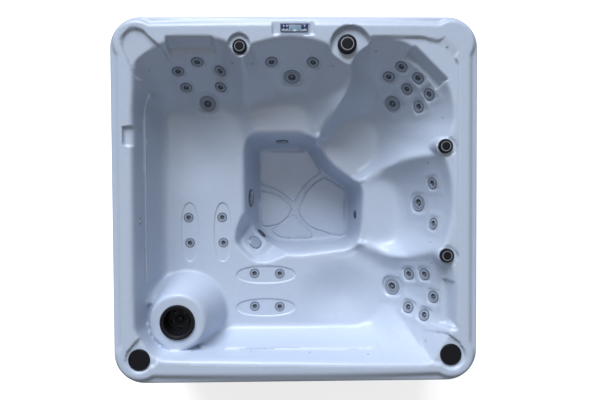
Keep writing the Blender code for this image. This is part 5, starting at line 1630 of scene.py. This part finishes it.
@dataclass
class RoundFitting:
    """One still fitting in a round seat."""

    node: str
    slot: str
    radius: float
    hole: float
    proud: float
    matrix: Optional[Matrix] = None

    def seat(self, seats: Seats) -> None:
        """Seat the fitting where its node stands."""
        place, axis = node_place(self.node, self.proud)
        self.matrix = seats.seat(place, axis, running(self.radius), running(self.hole))

    def rotated(self, face: float, upper: Outline, sides: int) -> Piece:
        """Round body with its stem, its flange and the upper steps of its profile."""
        return turned(self.node, below_seat(face, running(self.hole)) + list(upper), sides)

    def model(self, face: float, top: float) -> Piece:
        """Model the fitting round the origin, its face as wide and as high as given."""
        raise NotImplementedError

    def build(self) -> None:
        """Put the fitting in its place."""
        pattern = self.model(running(self.radius), self.proud)
        mount(placed(pattern, self.node + '_fitting', self.matrix), 'root', self.slot, [self.node])
        discard(pattern)


SPEAKER_STEPS = ((1.0, -0.006), (0.985, -0.0025), (0.95, -0.0008), (0.91, 0.0), (0.88, -0.0006),
                 (0.865, -0.0022), (0.7, -0.0016), (0.4, -0.001), (0.08, -0.0008))
SUCTION_STEPS = ((1.0, 0.002), (0.95, 0.0035), (0.84, 0.0038), (0.81, 0.0015), (0.76, 0.002))
SUCTION_DOME = ((0.7, 0.55), (0.52, 0.82), (0.3, 0.96), (0.12, 1.0))
RETURN_STEPS = ((1.0, 0.3), (0.9, 0.9), (0.8, 1.0), (0.62, 0.9), (0.55, 0.4))


class SpeakerCover(RoundFitting):
    """Matte round speaker cover with a rolled edge and a woven face."""

    def model(self, face: float, top: float) -> Piece:
        """Model the cover round the origin."""
        piece = self.rotated(face, stepped(face, top, SPEAKER_STEPS), 72)
        return smoothed(dress(piece, [COVER_BLACK, COVER_CLOTH],
                              lambda c, n: int(from_axis(c) < face * 0.86 and c.z > 0)))


class SuctionCover(RoundFitting):
    """Suction cover: a dark ring round a slotted metal dome."""

    slots: int = 40

    def model(self, face: float, top: float) -> Piece:
        """Model the cover round the origin.

        Args:
            face: Radius of the flange.
            top: Height of the dome.

        Returns:
            The cover.
        """
        dome = [(face * share, top * rise) for share, rise in SUCTION_DOME]
        piece = self.rotated(face, stepped(face, 0.0, SUCTION_STEPS) + dome, self.slots)
        press_in(piece, lambda c, n: face * 0.32 < from_axis(c) < face * 0.74 and c.z > 0
                 and every_other(c, self.slots), 0.0006, 0.0035)
        return smoothed(dress(piece, [COVER_RING, SATIN_STEEL],
                              lambda c, n: int(from_axis(c) / face <= 0.82 and c.z >= 0)))


class ReturnFitting(RoundFitting):
    """Return fitting: a dark rounded flange round a deep throat."""

    def model(self, face: float, top: float) -> Piece:
        """Model the fitting round the origin."""
        flange = [(face * share, top * rise) for share, rise in RETURN_STEPS]
        return smoothed(dress(self.rotated(face, flange + [(face * 0.5, -0.02)], 40),
                              [COVER_RING, JET_THROAT],
                              lambda c, n: int(from_axis(c) < face * 0.58 and c.z > -0.021)))


class LightLens(RoundFitting):
    """Domed lens with fine rings inside a dark bezel."""

    rings: int = 8

    def model(self, face: float, top: float) -> Piece:
        """Model the lens round the origin.

        Args:
            face: Radius of the bezel.
            top: Height of the lens.

        Returns:
            The lens.
        """
        upper = [(face, 0.0015), (face * 0.96, 0.003), (face * 0.9, 0.0032)]
        for k in range(self.rings):
            share = 0.88 - 0.1 * k
            dome = top * math.sqrt(1.0 - (share * 0.95) ** 2)
            upper += [(face * share, max(dome - 0.0006, 0.0022)), (face * (share - 0.06), dome)]
        return smoothed(dress(self.rotated(face, upper, 64), [LENS_BEZEL, LENS],
                              lambda c, n: int(from_axis(c) < face * 0.89 and c.z > 0)), 60.0)


@dataclass
class NicheNozzle:
    """Dark slot nozzle on the slanted corner wall of the footwell."""

    start: Point = (-0.12, -0.13)
    way: Point = (-0.7071, -0.7071)
    depth: float = 0.68
    radius: float = 0.038
    proud: float = 0.005
    matrix: Optional[Matrix] = None

    def seat(self, seats: Seats) -> None:
        """Find the wall at the nozzle's depth and seat it there."""
        start = from_shares([self.start])[0]
        place, axis = seats.form.wall_place(start, self.way, self.depth, self.radius)
        self.matrix = seats.seat(place, axis, self.radius, self.radius * 0.5)

    def build(self) -> None:
        """Model the nozzle and put it in its place."""
        face, top = self.radius, self.proud
        profile = [(face * 0.5, -0.02), (face * 0.5, SEAT_FOOT), (face, SEAT_FOOT), (face, top * 0.4),
                   (face * 0.92, top), (face * 0.8, top), (face * 0.72, top * 0.5), (face * 0.66, -0.008),
                   (face * 0.3, -0.01)]
        pattern = turned('nozzle', profile, 48)
        bar = block('bar', (-face * 0.7, -face * 0.16, -0.006), (face * 0.7, face * 0.16, top * 0.7))
        pattern = joined('nozzle', [pattern, soften(bar, 0.0012)])
        dress(smoothed(pattern), [COVER_RING, JET_THROAT],
              lambda c, n: int(from_axis(c) < face * 0.74 and c.z < top * 0.6))
        mount(placed(pattern, 'corner_nozzle', self.matrix), 'root', 'jet_grey')
        discard(pattern)


@dataclass
class MoodLights:
    """Small lights round the seats and on a far corner, and one larger light on the left wall."""

    radius: float = 0.0065
    proud: float = 0.0016
    depth: float = 0.007
    steps: Outline = ((1.0, 0.5), (0.86, 1.0), (0.66, 1.0), (0.6, 0.4), (0.52, 0.9), (0.3, 1.5),
                      (0.08, 1.7))
    large_share: float = 3.2

    def model(self, radius: float) -> Piece:
        """Model one light round the origin.

        Args:
            radius: Radius of its bezel.

        Returns:
            The light.
        """
        profile = [(radius * 0.7, -self.depth), (radius, -0.0006)]
        profile += [(radius * share, self.proud * rise) for share, rise in self.steps]
        return smoothed(dress(turned('light', profile, 24), [LIGHT_BEZEL, LIGHT_GLASS],
                              lambda c, n: int(from_axis(c) < radius * 0.62)))

    def build(self, form: ShellForm) -> None:
        """Place every light on the shell.

        Args:
            form: Height of the shell.
        """
        for size, places, label in ((self.radius, MOOD_LIGHT_PLACES, 'mood_light'),
                                    (self.radius * self.large_share, [LARGE_LIGHT_PLACE], 'wall_light')):
            pattern = self.model(size)
            for number, (x, y) in enumerate(places, 1):
                place, axis = form.surface(x, y, size)
                mount(placed(pattern, f'{label}_{number}', upright(place, axis)), 'root', 'lens')
            discard(pattern)


# Topside control

@dataclass
class TopsideControl:
    """Keypad: a pale bezel with a sloping front, a dark arched face, a screen and six round keys."""

    centre: Point = (0.0016, 0.98832)
    floor: float = RIM_HEIGHT - 0.014
    width: float = 0.1714
    length: float = 0.0614
    body: Point = (0.1494, 0.0434)
    sink: float = 0.0017
    height: float = 0.008
    body_depth: float = 0.03
    face_top: float = 0.03
    face_bottom: float = -0.0165
    face_left: float = -0.083
    face_right: float = 0.0745
    face_height: float = 0.0015
    arch: float = 0.0085
    screen_half: float = 0.035
    key_radius: float = 0.0052
    keys: Outline = ((-0.0645, 0.0145), (-0.0455, 0.0145), (-0.0645, -0.005), (-0.0455, -0.005),
                     (0.0555, 0.0145), (0.0555, -0.005))
    key_steps: Outline = ((0.9, -0.001), (1.0, 0.0002), (0.9, 0.0009), (0.5, 0.0012), (0.1, 0.0013))
    slack: float = 0.0006
    cut_top: float = 0.016
    cut_floors: Point = (-0.002, -0.03)
    front_fall: float = 0.0055

    def cutters(self) -> list[Piece]:
        """Blocks that cut the keypad's seat and the hole for its body."""
        (cx, cy), made = self.centre, []
        for (sx, sy), low in zip(((self.width, self.length), self.body), self.cut_floors):
            hx, hy = sx / 2 + self.slack, sy / 2 + self.slack
            made.append(block('keypad_cutter', (cx - hx, cy - hy, self.floor + low),
                              (cx + hx, cy + hy, self.floor + self.cut_top)))
        return made

    def bezel(self) -> Piece:
        """Bezel on its body, with the front top edge cut back to a slope.

        Returns:
            The bezel.
        """
        hx, hy, top = self.width / 2, self.length / 2, self.height - 0.001
        plate = block('keypad_bezel', (-hx, -hy, -self.sink), (hx, hy, top))
        select_faces(plate, [face.normal.z > 0.9 for face in plate.data.polygons])
        bpy.ops.mesh.inset(thickness=0.004)
        leave_edit()
        for vertex in plate.data.vertices:
            vertex.select = vertex.co.z > top / 2 and vertex.co.y < -hy + 0.001
        edit(plate, 'VERT')
        bpy.ops.transform.translate(value=(0.0, 0.0, -self.front_fall))
        leave_edit()
        soften(plate, 0.0012, 15.0)
        bx, by = (side / 2 for side in self.body)
        body = soften(block('body', (-bx, -by, -self.body_depth), (bx, by, -self.sink + 0.0005)), 0.002)
        return dress(joined('keypad_bezel', [plate, body]), [KEYPAD_PALE])

    def face(self) -> Piece:
        """Dark face with an arched top edge.

        Returns:
            The face.
        """
        deselect()
        bpy.ops.mesh.primitive_grid_add(x_subdivisions=24, y_subdivisions=1, size=1.0, enter_editmode=True,
                                        location=ORIGIN)
        width, length = self.face_right - self.face_left, self.face_top - self.face_bottom
        x, y = (self.face_right + self.face_left) / 2, (self.face_top + self.face_bottom) / 2
        bpy.ops.transform.resize(value=(width, length, 1.0), center_override=ORIGIN)
        bpy.ops.transform.translate(value=(x, y, self.height - self.face_height))
        raise_region(self.face_height)
        piece = closed('keypad_face')
        for vertex in piece.data.vertices:
            if vertex.co.y > self.face_top - 0.001:
                share = (vertex.co.x - x) / (width / 2)
                vertex.co.y -= self.arch * (1.0 - share * share)
        return dress(soften(piece, 0.0005), [KEYPAD_NAVY])

    def build(self) -> None:
        """Model the keypad and put its pieces in place."""
        place, top = Matrix.Translation((*self.centre, self.floor)), self.height
        screen = block('keypad_screen', (-self.screen_half, self.face_bottom + 0.0015, top - 0.001),
                       (self.screen_half, self.face_top - self.arch - 0.003, top + 0.0004))
        pieces = [self.bezel(), self.face(), dress(soften(screen, 0.0004), [KEYPAD_SCREEN])]
        for pattern, name, node in zip(pieces, ('bezel', 'face', 'screen'), (['topside_control'], [], [])):
            mount(placed(pattern, 'control_' + name, place), 'root', 'control_navy', node)
        key = turned('keypad_key', stepped(self.key_radius, top, self.key_steps), 24)
        smoothed(dress(key, [KEYPAD_KEY]), 60.0)
        for number, (x, y) in enumerate(self.keys, 1):
            matrix = place @ Matrix.Translation((x, y, 0.0))
            mount(placed(key, f'control_key_{number}', matrix), 'root', 'control_navy')
        discard(key, *pieces)


# Filter

@dataclass
class FilterUnit:
    """Housing hung in the tower, and the basket and cartridge that lift out of it."""

    ring: float = 0.1055
    bore: float = 0.092
    wall: float = 0.004
    flange_top: float = 0.0043
    depth: float = 0.33
    shelf: float = 0.0046
    rim: float = 0.0126
    cup: float = 0.0866
    basket_wall: float = 0.0035
    basket_depth: float = 0.09
    hole_radius: float = 0.0125
    hole_ring: float = 0.05
    holes: int = 5
    slots: int = 20
    cartridge: float = 0.062
    pleats: int = 40
    pleat_share: float = 0.86
    core: float = 0.026
    cap: float = 0.012
    place: Matrix = field(default_factory=lambda: Matrix.Translation(
        (TOWER[0] * HALF, TOWER[1] * HALF, RIM_HEIGHT - ShellForm.tower_depth)))

    def seat(self, seats: Seats) -> None:
        """Cut the tower for the housing's flange and barrel."""
        seats.seat(self.place.translation, UP, self.ring, self.bore + self.wall)

    def housing(self) -> Piece:
        """Barrel with a flange and a solid floor.

        Returns:
            The housing.
        """
        barrel, top = self.bore + self.wall, self.flange_top
        profile = [(barrel - 0.006, -self.depth), (barrel, -self.depth + 0.006), (barrel, SEAT_FOOT),
                   (self.ring, SEAT_FOOT), (self.ring, top), (self.bore, top),
                   (self.bore, -self.depth + self.wall)]
        return smoothed(dress(turned('filter_barrel', profile, 64), [FILTER_BLACK]))

    def basket(self) -> Piece:
        """Basket with a rolled ring, wall slots, floor holes and a finger grip.

        Returns:
            The basket.
        """
        floor, cup, rim, ring = self.shelf - self.basket_depth, self.cup, self.rim, self.ring
        inner, base = cup - self.basket_wall, floor + self.basket_wall
        profile = [(cup - 0.006, floor), (cup - 0.002, floor + 0.004), (cup, self.shelf), (ring, self.shelf),
                   (ring, rim - 0.004), (ring - 0.0012, rim - 0.0012), (ring - 0.004, rim),
                   (ring - 0.01, rim), (ring - 0.012, rim - 0.0025), (cup + 0.001, rim - 0.003),
                   (inner, rim - 0.006), (inner - 0.002, floor + 0.03), (inner - 0.01, base),
                   (0.024, base), (0.022, floor + 0.014), (0.018, floor + 0.017), (0.004, floor + 0.018)]
        piece = turned('filter_bowl', profile, 80)
        hole = turned('hole', [(self.hole_radius, floor - 0.01), (self.hole_radius, floor + 0.01)], 20)
        slot = block('slot', (cup * 0.85, -0.004, floor + 0.035), (cup * 1.1, 0.004, -0.02))
        cutters = []
        for k in range(self.holes):
            angle = 2 * math.pi * (k + 0.75) / self.holes
            centre = (self.hole_ring * math.cos(angle), self.hole_ring * math.sin(angle), 0.0)
            cutters.append(placed(hole, 'hole', Matrix.Translation(centre)))
        for k in range(self.slots):
            turn = Matrix.Rotation(2 * math.pi * (k + 0.5) / self.slots, 4, 'Z')
            cutters.append(placed(slot, 'slot', turn))
        discard(hole, slot)
        return smoothed(dress(cut_away(piece, joined('openings', cutters)), [FILTER_BLACK]))

    def element(self) -> Piece:
        """Cartridge of narrow pleats between two caps, with an open core.

        Returns:
            The cartridge.
        """
        low, top = -self.depth + self.wall + 0.02, self.shelf - self.basket_depth - 0.0006
        side, cap = self.cartridge, self.cap
        profile = [(side, low), (side, low + cap), (side * 0.97, low + cap), (side * 0.97, top - cap),
                   (side, top - cap), (side, top)]
        piece = turned('filter_pleats', profile, self.pleats * 2)
        for vertex in piece.data.vertices:
            sector = round(math.atan2(vertex.co.y, vertex.co.x) / math.pi * self.pleats)
            vertex.select = from_axis(vertex.co) < side * 0.98 and sector % 2 == 0
        edit(piece, 'VERT')
        bpy.ops.transform.resize(value=(self.pleat_share, self.pleat_share, 1.0), center_override=ORIGIN)
        leave_edit()
        cut_away(piece, turned('core', [(self.core, low - 0.01), (self.core, top + 0.01)], 40))
        return smoothed(dress(piece, [PLEATS, FILTER_CAP],
                              lambda c, n: int(c.z < low + cap * 0.99 or c.z > top - cap * 0.99)), 30.0)

    def build(self) -> None:
        """Model the filter and put its pieces in place."""
        for pattern, node, body, slot in ((self.housing(), 'filter_housing', 'root', 'filter_black'),
                                          (self.basket(), 'filter_basket', 'filter_insert', 'filter_black'),
                                          (self.element(), 'filter_cartridge', 'filter_insert', 'pleats')):
            mount(placed(pattern, pattern.name.split('.')[0], self.place), body, slot, [node])
            discard(pattern)


# Cabinet and equipment

@dataclass
class Cabinet:
    """Base tray, frame of round corner posts and rails, and grooved board panels."""

    half: float = HALF - 0.03
    corner: float = 0.15
    wall: float = 0.008
    tray_height: float = 0.04
    gap: float = 0.0003
    post_wall: float = 0.03
    post_top: float = RIM_HEIGHT - 0.05
    post_strips: int = 20
    panel_thickness: float = 0.016
    rail_width: float = 0.05
    rail_height: float = 0.045
    rail_reach: float = 0.05
    block_size: Point = (0.1, 0.02)
    block_inset: float = 0.078
    block_shares: Point = (-0.45, 0.55)
    block_top: float = RIM_HEIGHT - 0.009 - 0.0034
    screw_radius: float = 0.0055
    screw_inset: float = 0.035
    screw_steps: Outline = ((0.5, -0.008), (0.5, 0.0), (1.0, 0.0), (1.0, 0.0006), (0.85, 0.002),
                            (0.55, 0.0026), (0.42, 0.0027), (0.36, 0.0008))
    screw_heights: Point = (0.075, 0.755)

    def tray(self) -> None:
        """Shallow tray with round corners that stands on the floor."""
        deselect()
        side = 2 * (self.half + self.gap + self.wall)
        bpy.ops.mesh.primitive_plane_add(size=side, enter_editmode=True, location=ORIGIN)
        bpy.ops.mesh.select_mode(type='VERT')
        bpy.ops.mesh.bevel(affect='VERTICES', offset=self.corner + self.wall, segments=14,
                           offset_type='OFFSET')
        bpy.ops.mesh.select_mode(type='FACE')
        raise_region(self.tray_height)
        bpy.ops.mesh.inset(thickness=self.wall)
        raise_region(self.wall - self.tray_height)
        mount(dress(soften(closed('base_tray'), 0.0015), [BASE_BLACK]), 'root', 'base_black', ['base_pan'])

    def post(self) -> Piece:
        """Quarter-round post at the +X +Y corner, in narrow upright strips.

        Returns:
            The post.
        """
        deselect()
        centre = self.half - self.corner
        low, high = self.wall + self.gap, self.post_top
        bpy.ops.mesh.primitive_plane_add(size=1.0, enter_editmode=True, location=ORIGIN)
        bpy.ops.transform.resize(value=(self.post_wall, high - low, 1.0), center_override=ORIGIN)
        bpy.ops.transform.rotate(value=-math.pi / 2, orient_axis='X', center_override=ORIGIN)
        reach = centre + self.corner - self.post_wall / 2
        bpy.ops.transform.translate(value=(reach, centre, (high + low) / 2))
        bpy.ops.mesh.spin(steps=self.post_strips, angle=math.pi / 2, center=(centre, centre, 0.0),
                          axis=(0.0, 0.0, -1.0))
        return closed('post')

    def frame_pieces(self) -> Piece:
        """Posts, rails and deck blocks as one frame.

        Returns:
            The frame.
        """
        reach = self.half - self.corner + self.rail_reach
        outer = self.half - self.panel_thickness - self.gap
        inner, height = outer - self.rail_width, self.rail_height
        parts = [self.post()]
        for low in (self.wall + self.gap, self.post_top - height):
            parts.append(block('rail', (-reach, inner, low), (reach, outer, low + height)))
        length, width = self.block_size
        y, foot = HALF - self.block_inset, self.post_top - height / 2
        for x in (share * HALF for share in self.block_shares):
            parts.append(block('stud', (x - length / 2, y - width / 2, foot),
                               (x + length / 2, y + width / 2, self.block_top)))
        side = joined('side', parts)
        sides = [placed(side, 'side', Matrix.Rotation(math.pi / 2 * turn, 4, 'Z')) for turn in range(4)]
        discard(side)
        return soften(joined('cabinet_frame', sides), 0.0012, 40.0)

    def screws(self) -> None:
        """Round-headed screws at the corners of the access panel."""
        pattern = turned('screw', stepped(self.screw_radius, 0.0, self.screw_steps), 24)
        smoothed(dress(pattern, [SATIN_STEEL]))
        reach = self.half - self.corner - self.screw_inset
        places = [(x, self.half, height) for x in (-reach, reach) for height in self.screw_heights]
        for number, place in enumerate(places, 1):
            matrix = upright(Vector(place), (0.0, 1.0, 0.0))
            mount(placed(pattern, f'panel_screw_{number}', matrix), 'access_panel', 'frame_charcoal')
        discard(pattern)

    def build(self) -> None:
        """Model the cabinet and finish its panels."""
        self.tray()
        frame_piece = dress(self.frame_pieces(), [FRAME_CHARCOAL])
        mount(frame_piece, 'root', 'frame_charcoal', ['frame'])
        self.screws()
        refinish(BOARD_X, 'access_panel', 'back_panel')
        refinish(BOARD_Y, 'left_panel', 'right_panel')
        refinish(FOAM, 'footwell_support_block')


@dataclass
class Equipment:
    """Pump, heater pack and pipes behind the access panel."""

    def build(self) -> None:
        """Finish the equipment's nodes."""
        refinish(PUMP_BLACK, 'circulation_pump')
        refinish(PACK_CHARCOAL, 'heater_control_pack')
        refinish(PIPE_WHITE, 'suction_pipe', 'heater_feed_pipe', 'water_manifold')


# Studio

@dataclass(frozen=True)
class Lamp:
    """Soft far lamp: the way towards it, the angle its face fills in degrees, its power and colour."""

    name: str
    way: Colour
    softness: float
    power: float
    tint: Colour

    def add(self) -> None:
        """Hang the lamp."""
        data = bpy.data.lights.new(self.name, 'SUN')
        data.angle, data.energy, data.color = math.radians(self.softness), self.power, self.tint
        lamp = bpy.data.objects.new(self.name, data)
        lamp.matrix_world = upright(ORIGIN, self.way)
        bpy.context.scene.collection.objects.link(lamp)


@dataclass
class Studio:
    """Pale floor, soft lamps and the camera over the tub."""

    eye: Colour = (-0.0262, 0.0785, 3.8)
    aim: Colour = (0.025, 0.0055, 0.9)
    roll: float = -0.005
    lens: float = 30.17
    sensor: float = 36.0
    floor_size: float = 14.0
    floor_top: float = -0.0005
    floor_glow: float = 0.62
    floor_bounce: Colour = (0.14, 0.14, 0.14)
    floor_tones: tuple[Colour, Colour] = ((0.93, 0.93, 0.93), (0.95, 0.95, 0.95))
    sky_light: float = 0.19
    sky_seen: float = 1.0
    lamps: tuple[Lamp, ...] = (Lamp('key', (-0.16, 0.82, 0.52), 38.0, 3.8, (0.95, 1.0, 1.08)),
                               Lamp('top', (0.0, 0.05, 1.0), 12.0, 0.22, (1.0, 1.0, 1.0)))

    def camera(self) -> None:
        """Place the camera."""
        eye, aim = Vector(self.eye), Vector(self.aim)
        data = bpy.data.cameras.new('camera')
        data.lens, data.sensor_width, data.sensor_fit = self.lens, self.sensor, 'HORIZONTAL'
        camera = bpy.data.objects.new('camera', data)
        bpy.context.scene.collection.objects.link(camera)
        ahead = (aim - eye).normalized()
        right = ahead.cross(Vector((0, 1, 0))).normalized()
        up = right.cross(ahead)
        turn = Matrix((right, up, -ahead)).transposed().to_4x4()
        camera.matrix_world = Matrix.Translation(eye) @ turn @ Matrix.Rotation(self.roll, 4, 'Z')
        bpy.context.scene.camera = camera

    def world(self) -> None:
        """Even light from all round, white where the camera sees it, also through glass."""
        world = bpy.data.worlds.new('studio')
        nodes = Nodes(world)
        path = nodes.node('LightPath').outputs
        seen = nodes.node('Math', {0: path['Is Camera Ray'], 1: path['Is Transmission Ray']},
                          operation='MAXIMUM').outputs[0]
        strength = nodes.node('MapRange', {'Value': seen, 'To Min': self.sky_light, 'To Max': self.sky_seen})
        back = nodes.tree.nodes['Background']
        nodes.tree.links.new(strength.outputs['Result'], back.inputs['Strength'])
        back.inputs['Color'].default_value = (1.0, 1.0, 1.0, 1.0)
        bpy.context.scene.world = world

    def floor(self) -> None:
        """Pale floor that shows as white and keeps the tub's shadow."""
        deselect()
        bpy.ops.mesh.primitive_plane_add(size=self.floor_size, location=(0.0, 0.0, self.floor_top))
        plane = bpy.context.object
        plane.name = 'studio_floor'
        shader = Shader('studio_floor')
        shader.colour(shader.blend(shader.noise(3.0), *self.floor_tones))
        shader.set(Roughness=0.9)
        path = shader.node('LightPath').outputs['Is Camera Ray']
        glow = shader.node('Emission', {'Strength': self.floor_glow, 'Color': (1.0, 1.0, 1.0, 1.0)})
        both = shader.node('AddShader', {0: shader.surface.outputs[0], 1: glow.outputs[0]})
        dim = shader.node('BsdfDiffuse', {'Color': (*self.floor_bounce, 1.0)})
        pick = shader.node('MixShader', {0: path, 1: dim.outputs[0], 2: both.outputs[0]})
        out = shader.tree.nodes['Material Output']
        shader.tree.links.new(pick.outputs[0], out.inputs['Surface'])
        plane.data.materials.append(shader.material)

    def build(self) -> None:
        """Set up the whole studio."""
        self.camera()
        self.world()
        self.floor()
        for lamp in self.lamps:
            lamp.add()
        bpy.context.scene.view_settings.view_transform = 'Standard'


def main() -> None:
    """Build every piece in order."""
    logging.basicConfig(level=logging.INFO, format='%(name)s: %(message)s')
    Studio().build()
    form = ShellForm()
    seats = Seats(form)
    jets, valves, filter_unit, control = Jets(), Valves(), FilterUnit(), TopsideControl()
    fittings = [*(SpeakerCover('speaker_cover_' + side, 'cover_black', 0.0665, 0.045, 0.01)
                  for side in ('left', 'right')),
                SuctionCover('suction_cover_back', 'fitting_pale', 0.047, 0.02585, 0.008),
                SuctionCover('suction_cover_left', 'fitting_pale', 0.066, 0.0363, 0.008),
                ReturnFitting('return_fitting_right', 'fitting_pale', 0.03, 0.0165, 0.008),
                LightLens('light_lens', 'lens', 0.05, 0.036, 0.01), NicheNozzle()]
    for fitting in (jets, valves, filter_unit, *fittings):
        fitting.seat(seats)
    TubShell(form, cutters=[seats.cutter(), *control.cutters()]).build()
    for assembly in (jets, valves, filter_unit, control, *fittings, Cabinet(), Equipment()):
        assembly.build()
    MoodLights().build(form)


if __name__ == '__main__':
    main()
